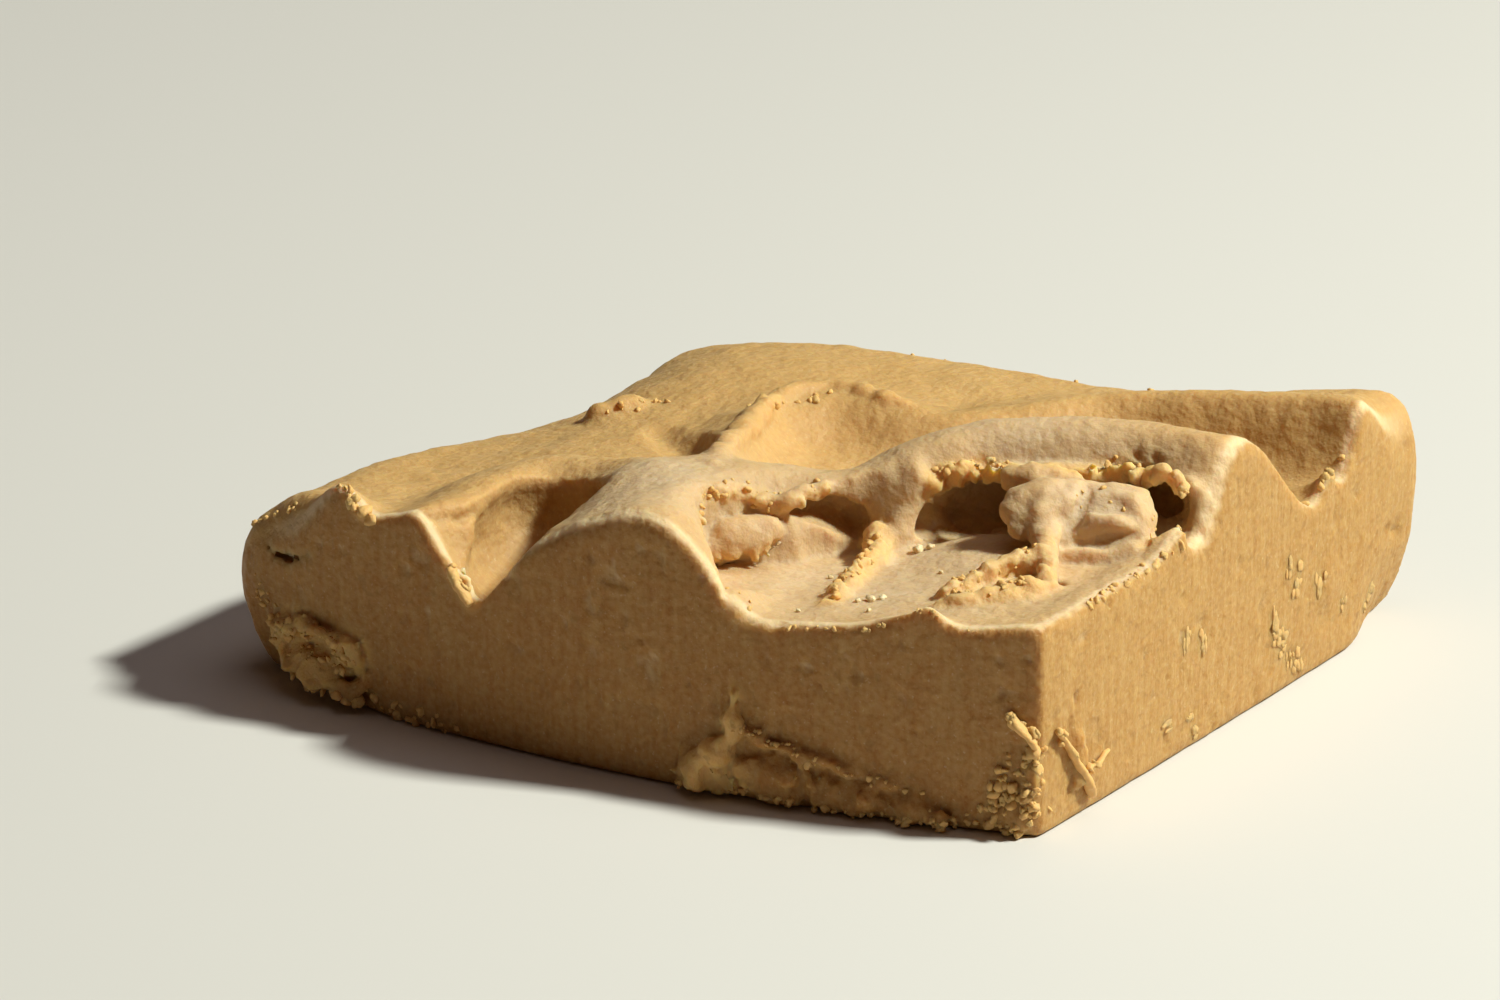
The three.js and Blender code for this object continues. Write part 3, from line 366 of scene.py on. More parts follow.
# Runs of crumbs: how many, their smallest and largest half size, how far they stray from the run, and its
# points as x, y, z
CRUMB_RUNS = {
    "curl lip": (24, 0.15, 0.4, 0.35,
        ((0.6, -29.6, 27.4), (2.4, -25.8, 26.8), (5.4, -24, 25.4), (8, -22.2, 26.4),
         (10, -19.6, 26.4))),
    "main rim": (30, 0.15, 0.4, 0.3,
        ((-0.6, -30, 27.6), (2.6, -34, 25.4), (8.4, -40.4, 21.6), (16.6, -43.8, 19.8))),
    "front rim": (24, 0.12, 0.3, 0.25,
        ((16.6, -43.8, 19.8), (28, -42.4, 21.4), (35.2, -41, 24.6), (40, -40, 22.6))),
    "middle hollow": (30, 0.15, 0.42, 0.45,
        ((19.4, -13, 28), (23.4, -9.8, 28.4), (28, -9.2, 28.4), (33, -7.8, 28.6))),
    "right hollow": (34, 0.15, 0.42, 0.4,
        ((34, -6.6, 28.6), (38, -4.2, 29), (42, -4.6, 29), (46.4, -6, 27.6), (47.2, -8.6, 25.6))),
    "right wall": (34, 0.15, 0.45, 0.3,
        ((47.4, -9, 25), (47.4, -12, 23.8), (47, -18, 23.4), (46.6, -30, 23.4))),
    "tear ridge": (26, 0.2, 0.55, 0.45,
        ((15.6, -18.4, 21.6), (17.2, -23, 21.4), (18.6, -30, 21.4), (19.2, -35.6, 21))),
    "roll": (24, 0.15, 0.4, 0.4, ((31.4, -33.2, 22.2), (35, -30.8, 23), (38.8, -27, 23.4))),
    "sheet": (18, 0.2, 0.5, 0.3,
        ((30.4, -31, 22.2), (31.8, -26.8, 23.2), (33.6, -23.2, 24), (36, -19.6, 24.6))),
    "twisted lump": (10, 0.15, 0.35, 1.2,
        ((34.6, -12.6, 26.6), (38.4, -11, 27.4), (41.6, -10, 27), (42.4, -10.6, 23.6))),
    "left scoop": (16, 0.25, 0.6, 0.35, ((-22.2, -43.9, 19), (-20.8, -44.2, 17.4),
                                         (-19.4, -44.2, 15.8))),
    "left notch": (20, 0.2, 0.6, 0.45, ((-37.6, -42, 26), (-36, -42.3, 24.2), (-33.6, -42.6, 22.6))),
    "left rim": (16, 0.2, 0.5, 0.4, ((-54, -37.4, 17), (-50.6, -39, 20.4), (-46, -40.2, 22.4))),
    "left side": (22, 0.2, 0.6, 0.6, ((-50.6, -39.6, 10.6), (-48, -40.4, 8), (-46.6, -41, 5))),
    "left chunk": (60, 0.2, 0.5, 0.9,
        ((-46.4, -41.4, 8.4), (-42.4, -42.2, 6), (-38, -42.6, 6.6), (-36, -42.6, 3.8))),
    "left foot": (60, 0.2, 0.55, 0.6, ((-45, -41.4, 1.6), (-34, -43.2, 1.4), (-22, -44.4, 0.8))),
    "patch ledge": (40, 0.15, 0.35, 0.25,
        ((12.8, -45, 8.6), (20.2, -43.9, 6.6), (29.5, -42.4, 4.4), (34, -41.4, 3.2))),
    "front foot": (80, 0.2, 0.5, 0.5,
        ((6, -45.4, 0.9), (20, -44.2, 0.9), (33, -42, 0.7), (44, -39.4, 0.8))),
    "near corner": (70, 0.25, 0.65, 0.9,
        ((40.4, -40.2, 2.6), (43.4, -39.6, 4.6), (45.6, -39, 3.2), (42.4, -39.8, 7))),
    "corner flake": (46, 0.25, 0.6, 0.4,
        ((44.4, -39.6, 12.8), (46, -38.8, 10.6), (45.6, -39, 8.4), (45.4, -39.1, 5.4))),
    "back rim": (18, 0.2, 0.6, 0.35, ((48.2, 17.6, 20.8), (48.6, 20.4, 22.8), (48.6, 24, 23.6))),
    "back ridge": (12, 0.2, 0.55, 0.4, ((-13, 4, 23.8), (-12.4, 8.6, 23.4), (-9, 14.6, 23.6))),
    "far edge": (14, 0.2, 0.5, 0.8, ((-14, 40, 20.6), (4, 41, 20.2), (22, 40, 22))),
    "left crumbs": (10, 0.2, 0.55, 0.6, ((-31.4, 2.6, 20.6), (-28.6, 6.4, 21), (-26.6, 8, 21))),
}
# Half sizes of a crumb as shares of its size, how far its centre stands out of the surface, its largest
# spin, and how many kinds of crag there are
CRUMB_SHAPE = (0.6, 1.5)
CRUMB_STAND = (-0.5, 0.2)
CRUMB_SPIN = 6
CRUMB_KINDS = 977
# How far the noise is shifted from one kind of crag to the next, and the lowest height of any crumb
CRUMB_SHIFT = 7.3
LOWEST_CRUMB = 0.05
# Sugary crumbs on the floor of the main scoop, as x, y, z, half size
SUGAR_CRUMBS = (
    (20.1, -17.6, 20.6, 0.75), (21.3, -17, 20.6, 0.5), (19.4, -16.4, 20.6, 0.4),
    (22.9, -33.1, 20.8, 0.6), (23.8, -32.4, 20.8, 0.4), (22, -34, 20.6, 0.35), (26.4, -24, 21.4, 0.3),
    (14.6, -27, 20, 0.3), (25, -37, 21, 0.3), (17.4, -39, 20, 0.3),
)
# Their half sizes as shares of that size, and how far their centres stand out of the floor
SUGAR_SHAPE = (1, 0.8, 0.7)
SUGAR_STAND = 0.4
# Smears that stand out of the right cut face, as y, z, half width, half height
SMEARS = (
    (8.8, 8.7, 0.9, 1.5), (10.2, 7.2, 0.9, 1.1), (11.4, 5.6, 1.2, 0.9), (14.8, 2.2, 1.1, 1.3),
    (13, 3.4, 0.7, 0.9), (12.4, 14.4, 0.6, 1.2), (14.2, 12, 1.0, 1.1), (32.3, 4.6, 1.2, 1.3),
    (30.8, 3.4, 0.8, 0.8), (-12.9, 4.5, 2.0, 0.5), (-8.3, 3.5, 0.8, 0.8), (-7, 1.4, 0.9, 0.7),
    (-9.7, 12.5, 0.6, 1.4), (-6.1, 11.6, 0.7, 1.6), (19.2, 9.8, 0.9, 1.3), (24.6, 6.4, 0.5, 0.8),
)
SMEAR_THICKNESS = 0.3
SMEAR_DABS = 6
# How far the dabs of a smear stray along y and z, and their half sizes, as shares of the smear's
DAB_STRAY = (0.4, 0.5)
DAB_SHAPE = (0.3, 0.7)
# Shavings that hang on the cut faces, as x, y, z, half width
SHAVINGS = (
    ((46.9, -36, 11.5, 0.3), (47.3, -34, 8.9, 0.45), (47.5, -31.8, 5.7, 0.55),
     (47.5, -29.8, 3, 0.6), (47.3, -29, 1.9, 0.5)),
    ((47.5, -31, 5.6, 0.2), (48.2, -29.4, 5.8, 0.35), (48.2, -27.8, 6.5, 0.35),
     (47.7, -26.4, 6.2, 0.2)),
    ((43.2, -39.7, 14, 0.4), (44, -39.8, 13, 0.6), (44.9, -39.6, 12, 0.6), (45.7, -39.2, 11, 0.5),
     (46, -38.9, 10, 0.3)),
    ((-22.4, -44, 19.4, 0.4), (-21.2, -44.3, 17.8, 0.7), (-19.6, -44.4, 15.8, 0.5)),
)
# Rings and sides of a shaving, its width and thickness as shares, and how uneven its sides are
SHAVING_RINGS = 26
SHAVING_SIDES = 10
SHAVING_FLATNESS = (1.1, 0.8)
SHAVING_GRAIN = 0.9
SHAVING_UNEVENNESS = 0.3
# Nodules on the upper share of each shaving, their half sizes and shape, and how far they stray
NODULES = 7
NODULED_SHARE = 0.4
NODULE_SIZES = (0.2, 0.45)
NODULE_SHAPE = (1, 0.8, 1)
NODULE_STRAY = 0.25

# Where the smeared top is pinkish and pale, as x, y and reach along x and y
CREAMY_PLACES = ((22, -26, 26, 20), (-2, -32, 12, 14), (30, -6, 20, 8), (38, -12, 8, 9))
# Strands along the places where the fudge tore, as x, y, z, radius
TORN_PLACES = (
    ((20, -13.4, 27.4, 1.4), (24, -10.4, 28, 1.5), (28.6, -9.4, 28.2, 1.5), (33, -8, 28.4, 1.5)),
    ((34.4, -6.4, 29, 1.3), (38, -4.6, 29.4, 1.5), (42, -5, 29, 1.4), (45, -7, 27.6, 1.2)),
    ((15, -17.6, 21, 1.7), (17, -21.8, 20.7, 1.2), (19.2, -35.4, 20.3, 1)),
    ((31.6, -33.2, 21.7, 0.7), (35, -30.8, 22.1, 1.4), (38.6, -27.2, 22.3, 1.6)),
    ((30.6, -30.6, 21.8, 0.7), (31.8, -26.8, 22.4, 1), (33.6, -23.2, 23.1, 1),
     (35.8, -20, 23.6, 1.1)),
    ((-44.4, -41, 6.6, 3), (-40.6, -42, 3.8, 3), (-36, -42, 6.4, 2.4)),
    ((13, -44.8, 12.6, 0.5), (13.2, -45.2, 9, 0.9), (10.8, -45.6, 5, 2), (9, -45.6, 2.6, 1.8),
     (13.6, -44.8, 2.4, 1.6)),
)
# Painted shade: where the fudge is coloured darker to stand for the shade that falls there, as a share and a
# strand: the left scoop, the foot of the ledge in the main scoop, the column left of the middle hollow, the
# band under the back rim, the end of the back scoop, the curl's hollow, the right hollow, and the slit in
# the long cut face
PAINTED_SHADE_PLACES = (
    (0.5, ((-19, -43, 16.6, 2.2), (-19.6, -38, 18.2, 4), (-20.2, -34, 19.4, 5.3),
           (-19.6, -29.4, 20.2, 5.9), (-16, -29, 21.2, 5.1), (-12.8, -31.2, 22.2, 3.4))),
    (0.5, ((2.4, -32.2, 20, 0.9), (4.6, -30, 20, 1.1), (7, -27.4, 20.2, 0.9))),
    (0.2, ((8.6, -16, 27, 1.2), (11.6, -16.4, 25.8, 2.2), (14.4, -16.4, 24, 2),
           (15.8, -17.6, 22, 1.2))),
    (0.45, ((0, 17.5, 21.8, 0.9), (10, 22.6, 21.8, 1.1), (20, 28.5, 22.2, 1.1), (30, 32, 23, 0.9))),
    (0.4, ((48.4, 17.6, 20, 1), (48.4, 20.4, 22, 1.1))),
    (0.7, ((8, -21, 24.6, 1.4), (10.4, -18.4, 23.6, 2), (12.4, -17.6, 22, 1.8))),
    (0.7, ((36, -2, 25.4, 3), (42, -2.4, 25.6, 3.2), (46.4, -6, 25.6, 1.8))),
    (0.9, ((-48.4, -38.9, 15.3, 0.6), (-46.4, -39.5, 14.9, 1), (-44.4, -40.1, 15.2, 1),
           (-41.6, -40.8, 16.3, 0.6))),
)
# How far from a strand its colour starts and is whole
TORN_FADE = (1.2, -0.6)
PAINTED_SHADE_FADE = (0.8, -0.9)
TOOTH_FADE = (0.9, 0)
# How much of a tooth's size and of the torn colour the teeth's own strands take
TOOTH_REACH = 0.8
TOOTH_SHARE = 0.6
# Where the cut faces' colour starts and is whole, as the distance outside the slab's sides
CUT_FADE = (-1.1, -0.3)
# Where the painted shade of the long cut face starts and is whole, along x and y
FRONT_SHADE_FADE_X = (46.6, 45.6)
FRONT_SHADE_FADE_Y = (-33, -38)
# Where the painted glow under the rim starts and is whole, a pale band painted for light that seeps through
# the
# rim: from the top's side and from outside, as the distance outside the slab's sides, and along z, y and x
RIM_GLOW_INNER = (-1.8, -1.2)
RIM_GLOW_OUTER = (-0.2, -0.7)
RIM_GLOW_FADE_Z = (10, 14)
RIM_GLOW_FADE_Y = (42, 30)
RIM_GLOW_FADE_X = (-50, -42)

# Seeds of the random draws
TOOTH_RANDOM = 5
CRUMB_RANDOM = 7
NODULE_RANDOM = 11
SMEAR_RANDOM = 13
# Seeds of the noise on each kind of lump: the first one, or the ends that a tooth's is drawn between
SUGAR_SEED = 3
LUMP_SEED = 60
NODULE_SEED = 60
SHAVING_SEED = 84
TOOTH_SEEDS = (200, 900)
# Noise, as spacing, strength, seed, and the share of the height that counts, of which a small one gives
# upright marks
LIP_WANDER = ((2.2, 1, 11, 1), (0.9, 0.5, 12, 1))
DRAG_MARKS = ((0.9, 0.05, 71, 0.16), (2.6, 0.08, 72, 0.3))
SOFT_LUMPS = ((3.4, 0.18, 73, 1), (1.3, 0.09, 74, 1))
TORN_CRAGS = ((1.5, 0.5, 75, 1), (0.75, 0.42, 76, 1))
PIT_PATTERN = ((1.5, 1, 77, 0.75),)
FINE_GRAIN = ((0.6, 0.03, 78, 1),)
RIM_GLOW_WANDER = ((0.8, 0.2, 79, 1),)
CRUMB_CRAGS = ((0.8, 0.5, 81, 1), (0.4, 0.3, 82, 1))
# Depth of the small pits in the cut faces, and the pattern's values where they start and are whole
PIT_DEPTH = 0.3
PIT_FADE = (0.5, 0.8)
# Heights between which the relief starts, and the height below which a face belongs to the flat base
RELIEF_FADE = (0.1, 1.2)
BASE_SKIN = 0.25

# Box that the surface is traced in: for x, y and z its low and high ends, and the spacing as a share of the
# mesh step from each place on
GRID_AXES = (
    (-56.0, 52.0, ((-56, 1.5), (-30, 1.0))),
    (-48.5, 46.0, ((-48.5, 0.86), (6, 1.5))),
    (-1.2, 34.5, ((-1.2, 1.8), (14, 0.9))),
)

# Colour patterns, as scale per metre, detail, and the noise that gives none and all of the pattern
CLOUDS = (110.0, 3.0, 0.35, 0.68)
GRAIN = (1500.0, 2.0, 0.3, 0.7)
SPECKS = (2300.0, 1.0, 0.66, 0.78)
STREAKS = (900.0, 2.0, 0.35, 0.7)
# The pattern below is painted shade: dark spots on the cut faces that stand for the shade in small pin holes
PIN_HOLE_SHADE = (620.0, 2.0, 0.62, 0.7)
SUGAR_CLOUDS = (900.0, 3.0, 0.35, 0.65)
# Fine relief, as scale per metre, detail, and height in metres
FUDGE_RELIEF = (900.0, 5.0, 0.00034)
STREAK_RELIEF = (1000.0, 3.0, 0.0002)
SUGAR_RELIEF = (2600.0, 3.0, 0.0002)
# Scale along x, y and z of patterns that are drawn out upright
UPRIGHT = (1.0, 1.0, 0.12)
# Light that seeps through, as its share, its reach in metres, and how far red, green and blue go
SLAB_SEEP = (0.62, 0.0028, (1.0, 0.6, 0.25))
CRUMB_SEEP = (0.3, 0.0006, (1.0, 0.6, 0.25))
SUGAR_SEEP = (0.3, 0.0006, (1.0, 0.7, 0.4))
# Roughness of the fudge between its grain and on it, the sheen of its surface, and the sugar's roughness
DULL = (0.62, 0.62, 0.62)
SATIN = (0.5, 0.5, 0.5)
FUDGE_SHEEN = 0.22
SUGAR_ROUGHNESS = 0.45
# How strongly each pattern and place colours the fudge, and the small pieces' shares of the torn colour
CLOUD_STRENGTH = 0.35
TORN_STRENGTH = 0.9
GRAIN_STRENGTH = 0.3
RIM_GLOW_STRENGTH = 0.8
STREAK_STRENGTH = 0.2
SPECK_STRENGTH = 0.22
PIN_HOLE_SHADE_STRENGTH = 0.45
SUGAR_CLOUD_STRENGTH = 0.6
CRUMB_TORN = 1.0
SMEAR_TORN = 0.4
SUGAR_TORN = 0.0

# Studio floor, in metres, and its lights, as azimuth and elevation in degrees, distance and size in metres,
# watts and colour
FLOOR_HALF = 3.0
FLOOR_ROUGHNESS = 0.7
KEY_LIGHT = (20, 47, 1.3, 0.14, 26.5, (0.93, 0.98, 0.885))
SKY_LIGHT = (60, 80, 1.4, 1.0, 2.2, (0.98, 0.90, 0.90))
WORLD_COLOUR = (1.0, 0.60, 0.38, 1.0)
WORLD_STRENGTH = 0.034

# Camera of the studio view: a long lens, low and to the right of the long cut face
VIEW_AZIMUTH = 30.5
VIEW_ELEVATION = 20.0
VIEW_ROLL = 0.3
VIEW_DISTANCE = 988.0
VIEW_LENS = 228.0
SENSOR_WIDTH = 36.0
FRAME_WIDTH = 1500
FRAME_HEIGHT = 1000
# How far the camera sees, in metres
VIEW_END = 20
# Pixel of the near corner's foot in a frame of that size
NEAR_FOOT_PIXEL = (1040, 838)
NEAR_FOOT = (46.0, -38.0, 0.0)


def smooth_min(a, b, blend):
    overlap = np.maximum(blend - np.abs(a - b), 0) / blend
    return np.minimum(a, b) - overlap * overlap * blend / 4


def smooth_max(a, b, blend):
    return -smooth_min(-a, -b, blend)


def smooth_step(start, end, value):
    t = np.clip((value - start) / (end - start), 0, 1)
    return t * t * (3 - 2 * t)


def mix(a, b, share):
    return a + (b - a) * share


def lattice_noise(points, spacing, seed):
    """Smooth noise between -1 and 1 for each row of points, on a lattice of that spacing."""
    spot = np.asarray(points, dtype=np.float64) / spacing
    corner = np.floor(spot).astype(np.int64)
    share = spot - corner
    share = share * share * (3 - 2 * share)
    total = np.zeros(len(spot))
    for bits in range(8):
        step = np.array([bits & 1, (bits >> 1) & 1, bits >> 2])
        cell = (corner + step).astype(np.uint32)
        mixed = cell[:, 0] * np.uint32(374761393) + cell[:, 1] * np.uint32(668265263)
        mixed = mixed + cell[:, 2] * np.uint32(2246822519) + np.uint32(seed * 3266489917 % 2**32)
        mixed = (mixed ^ (mixed >> np.uint32(13))) * np.uint32(1274126177)
        mixed = mixed ^ (mixed >> np.uint32(16))
        weight = np.prod(np.where(step == 1, share, 1 - share), axis=1)
        total += weight * ((mixed & np.uint32(0xFFFF)) / 32767.5 - 1)
    return total


def layered_noise(points, layers):
    """Sum of noises, each given as spacing, strength, seed and the share of the height that counts."""
    return sum(
        lattice_noise(points * (1, 1, upright), spacing, seed) * strength
        for spacing, strength, seed, upright in layers
    )


def noise_over(x, y, z, layers):
    """Layered noise in the shape that x, y and z spread out to."""
    shape = np.broadcast(x, y, z).shape
    spots = np.stack([np.broadcast_to(c, shape).ravel() for c in (x, y, z)], axis=1)
    return layered_noise(spots, layers).reshape(shape)


def between(t, start, end, a, b):
    """The place on the way from a, at the start, to b, at the end."""
    return (end - t) / (end - start) * a + (t - start) / (end - start) * b


def smooth_curve(points, steps):
    """A centripetal curve through the points, as rows of x, y and, where given, height."""
    rows = np.array([tuple(p) + (0.0,) * (3 - len(p)) for p in points], dtype=float)
    ends = np.vstack([2 * rows[0] - rows[1], rows, 2 * rows[-1] - rows[-2]])
    per_span = max(2, steps // (len(rows) - 1))
    traced = []
    for i in range(len(rows) - 1):
        p0, p1, p2, p3 = ends[i : i + 4]
        knots = [0.0]
        for a, b in ((p0, p1), (p1, p2), (p2, p3)):
            knots.append(knots[-1] + max(np.linalg.norm(b - a), 1e-4) ** 0.5)
        k0, k1, k2, k3 = knots
        t = np.linspace(k1, k2, per_span, endpoint=False)[:, None]
        a1 = between(t, k0, k1, p0, p1)
        a2 = between(t, k1, k2, p1, p2)
        a3 = between(t, k2, k3, p2, p3)
        b1 = between(t, k0, k2, a1, a2)
        b2 = between(t, k1, k3, a2, a3)
        traced.append(between(t, k1, k2, b1, b2))
    traced.append(rows[-1:])
    return np.vstack(traced)


def nearest_on_plan(curve, x, y):
    """Distance to a plan curve, its side (positive to the left of the walk) and its height there."""
    best = np.full(x.shape, np.inf)
    side = np.ones(x.shape)
    height = np.zeros(x.shape)
    for start, end in zip(curve[:-1], curve[1:]):
        along_x, along_y = end[0] - start[0], end[1] - start[1]
        to_x, to_y = x - start[0], y - start[1]
        share = np.clip((to_x * along_x + to_y * along_y) / (along_x**2 + along_y**2), 0, 1)
        distance = np.hypot(to_x - along_x * share, to_y - along_y * share)
        closer = distance < best
        best = np.where(closer, distance, best)
        side = np.where(closer, np.where(along_x * to_y - along_y * to_x < 0, -1.0, 1.0), side)
        height = np.where(closer, mix(start[2], end[2], share), height)
    return best, side, height


def strand_distance(strand, x, y, z):
    """Signed distance to a strand of round beads joined by tapering runs."""
    nearest = np.full(np.broadcast(x, y, z).shape, np.inf)
    for (ax, ay, az, ar), (bx, by, bz, br) in zip(strand[:-1], strand[1:]):
        length_squared = (bx - ax) ** 2 + (by - ay) ** 2 + (bz - az) ** 2
        reach = ((x - ax) * (bx - ax) + (y - ay) * (by - ay) + (z - az) * (bz - az)) / length_squared
        share = np.clip(reach, 0, 1)
        gap = np.sqrt(
            (x - mix(ax, bx, share)) ** 2 + (y - mix(ay, by, share)) ** 2 + (z - mix(az, bz, share)) ** 2
        )
        nearest = np.minimum(nearest, gap - mix(ar, br, share))
    return nearest


def swell_share(x, y, centre_x, centre_y, reach_x, reach_y):
    """How far a place belongs to a soft swell: 1 at its middle, fading away over its reach."""
    return np.exp(-(((x - centre_x) / reach_x) ** 2) - ((y - centre_y) / reach_y) ** 2)


def swell_height(swells, x, y):
    """Sum of soft swells, each given as centre x, y, half widths along x and y, and rise."""
    height = np.zeros(x.shape)
    for *place, rise in swells:
        height += rise * swell_share(x, y, *place)
    return height


def plan_outline(front_bow):
    """Points round the slab's plan, anticlockwise from the near corner."""
    corners = (NEAR_CORNER, RIGHT_CORNER, FAR_CORNER, LEFT_CORNER)
    bows = (RIGHT_BOW, BACK_BOW, LEFT_BOW, front_bow)
    sides = []
    for index, (x, y, rounding) in enumerate(corners):
        next_x, next_y, next_rounding = corners[(index + 1) % 4]
        length = math.hypot(next_x - x, next_y - y)
        along = np.array([next_x - x, next_y - y]) / length
        out = np.array([along[1], -along[0]])
        reach = np.linspace(rounding, length - next_rounding, SIDE_STEPS + 1)[:, None]
        bow = bows[index] * 4 * (reach / length) * (1 - reach / length)
        sides.append(np.array([x, y]) + along * reach + out * bow)
    ring = []
    for index, side in enumerate(sides):
        after = sides[(index + 1) % 4]
        ring.extend(side)
        corner = crossing(side[-2], side[-1], after[0], after[1])
        for step in range(1, CORNER_STEPS):
            t = step / CORNER_STEPS
            ring.append((1 - t) ** 2 * side[-1] + 2 * t * (1 - t) * corner + t * t * after[0])
    return np.array(ring)


def crossing(a, b, c, d):
    """Where the line through a and b meets the line through c and d."""
    ab = b - a
    cd = d - c
    share = ((c[0] - a[0]) * cd[1] - (c[1] - a[1]) * cd[0]) / (ab[0] * cd[1] - ab[1] * cd[0])
    return a + ab * share


class SlabForm:
    """The slab's form as heights and distances, shared by the mesh, its crumbs and its colours."""

    def __init__(self, sizes):
        self.plateau = sizes.plateau
        self.ragged = sizes.ragged
        ring = plan_outline(sizes.front_bow)
        self.outline = np.column_stack([np.vstack([ring, ring[:1]]), np.zeros(len(ring) + 1)])
        self.main_crest = smooth_curve(MAIN_CREST, CURVE_STEPS)
        self.back_crest = smooth_curve(BACK_CREST, CURVE_STEPS)
        self.left_crest = smooth_curve(LEFT_CREST, CURVE_STEPS)
        self.main_lip = smooth_curve(MAIN_LIP, CURVE_STEPS)

    def back_height(self, x, y, behind_main):
        """Ground behind the main crest: the back scoop, held in by the back crest, then the plateau."""
        distance, side, crest_height = nearest_on_plan(self.back_crest, x, y)
        plateau = self.plateau + swell_height(SWELLS, x, y)
        lip = mix(plateau, crest_height, np.exp(-((distance / BACK_CREST_REACH) ** 2)))
        floor = BACK_FLOOR + swell_height(BACK_SHELVES, x, y)
        scooped = mix(lip, floor, smooth_step(0, BACK_WALL, distance))
        return np.where((side < 0) & behind_main, scooped, lip)

    def main_floor_height(self, x, y):
        """Floor of the main scoop: it rises a little to the front and the right, then to the right rim."""
        rise = FLOOR_RISE_X * np.maximum(x - FLOOR_LOW_X, 0) + FLOOR_RISE_Y * np.maximum(FLOOR_LOW_Y - y, 0)
        floor = MAIN_FLOOR + rise
        floor = mix(floor, RIGHT_RIM_HEIGHT, smooth_step(RIGHT_RIM_INNER, RIGHT_RIM_OUTER, x))
        return floor + swell_height(FLOOR_SWELLS, x, y)

    def left_scoop_height(self, x, y):
        """Height of the left scoop's trough, rising steeply away from its path."""
        lowest = np.full(x.shape, np.inf)
        for (ax, ay, az, ar, ap), (bx, by, bz, br, bp) in zip(LEFT_SCOOP[:-1], LEFT_SCOOP[1:]):
            reach = ((x - ax) * (bx - ax) + (y - ay) * (by - ay)) / ((bx - ax) ** 2 + (by - ay) ** 2)
            share = np.clip(reach, 0, 1)
            distance = np.hypot(x - mix(ax, bx, share), y - mix(ay, by, share))
            wall = LEFT_SCOOP_RISE * (distance / mix(ar, br, share)) ** mix(ap, bp, share)
            lowest = np.minimum(lowest, mix(az, bz, share) + wall)
        return lowest

    def lip_inside(self, x, y):
        """How far a plan point lies inside the main scoop's lip, with the lip's ragged edge."""
        distance, side, _ = nearest_on_plan(self.main_lip, x, y)
        return -side * distance + self.ragged * noise_over(x, y, 0.0, LIP_WANDER)

    def crest_ground(self, x, y):
        """Ground without the front scoops: it falls from the main crest, steeply in front, softly behind."""
        distance, side, crest = nearest_on_plan(self.main_crest, x, y)
        left_distance, _, left_crest = nearest_on_plan(self.left_crest, x, y)
        behind = side < 0
        left_ridge = left_crest - LEFT_CREST_FALL * left_distance**LEFT_CREST_POWER
        ground = smooth_max(self.back_height(x, y, behind), left_ridge, LEFT_CREST_BLEND)
        arch = smooth_step(*HUMP_END, y)
        share = np.minimum(distance / mix(*CREST_SLOPE, arch), 1)
        back = mix(ground, crest, (1 + np.cos(np.pi * share)) / 2)
        reach = np.minimum(distance, mix(*CREST_REACH, arch))
        front = crest - mix(*CREST_ROUNDING, arch) * reach**2
        return np.where(behind, back, front)

    def top_height(self, x, y):
        """Height of the top with the left scoop and the main scoop let into it."""
        height = smooth_min(self.crest_ground(x, y), self.left_scoop_height(x, y), LEFT_SCOOP_BLEND)
        width = mix(MAIN_WALL, WALL_END, smooth_step(*WALL_WIDENS, x)) + swell_height(SOFT_WALLS, x, y)
        wall = smooth_step(0, 1, self.lip_inside(x, y) / width)
        return mix(height, self.main_floor_height(x, y), wall)

    def side_distance(self, x, y, z):
        """Distance outside the plan, tuck of the base, how round the rim is, and the tuck's share at z."""
        distance, side, _ = nearest_on_plan(self.outline, x, y)
        loaf = np.maximum(smooth_step(*LEFT_EDGE, x), smooth_step(*BACK_EDGE, y))
        share = np.interp(z, TUCK_HEIGHTS, TUCK_SHARES)
        cut = CUT_ROUND + swell_height(SOFT_RIM, x, y)
        return -side * distance, mix(CUT_TUCK, LOAF_TUCK, loaf), mix(cut, LOAF_ROUND, loaf), share


def grid_axis(low, high, step, spacing):
    """Places along an axis, a mesh step apart times the share that holds there."""
    places = [low]
    while places[-1] < high:
        share = [part for start, part in spacing if start <= places[-1] + step / 10][-1]
        places.append(places[-1] + step * share)
    return np.array(places)


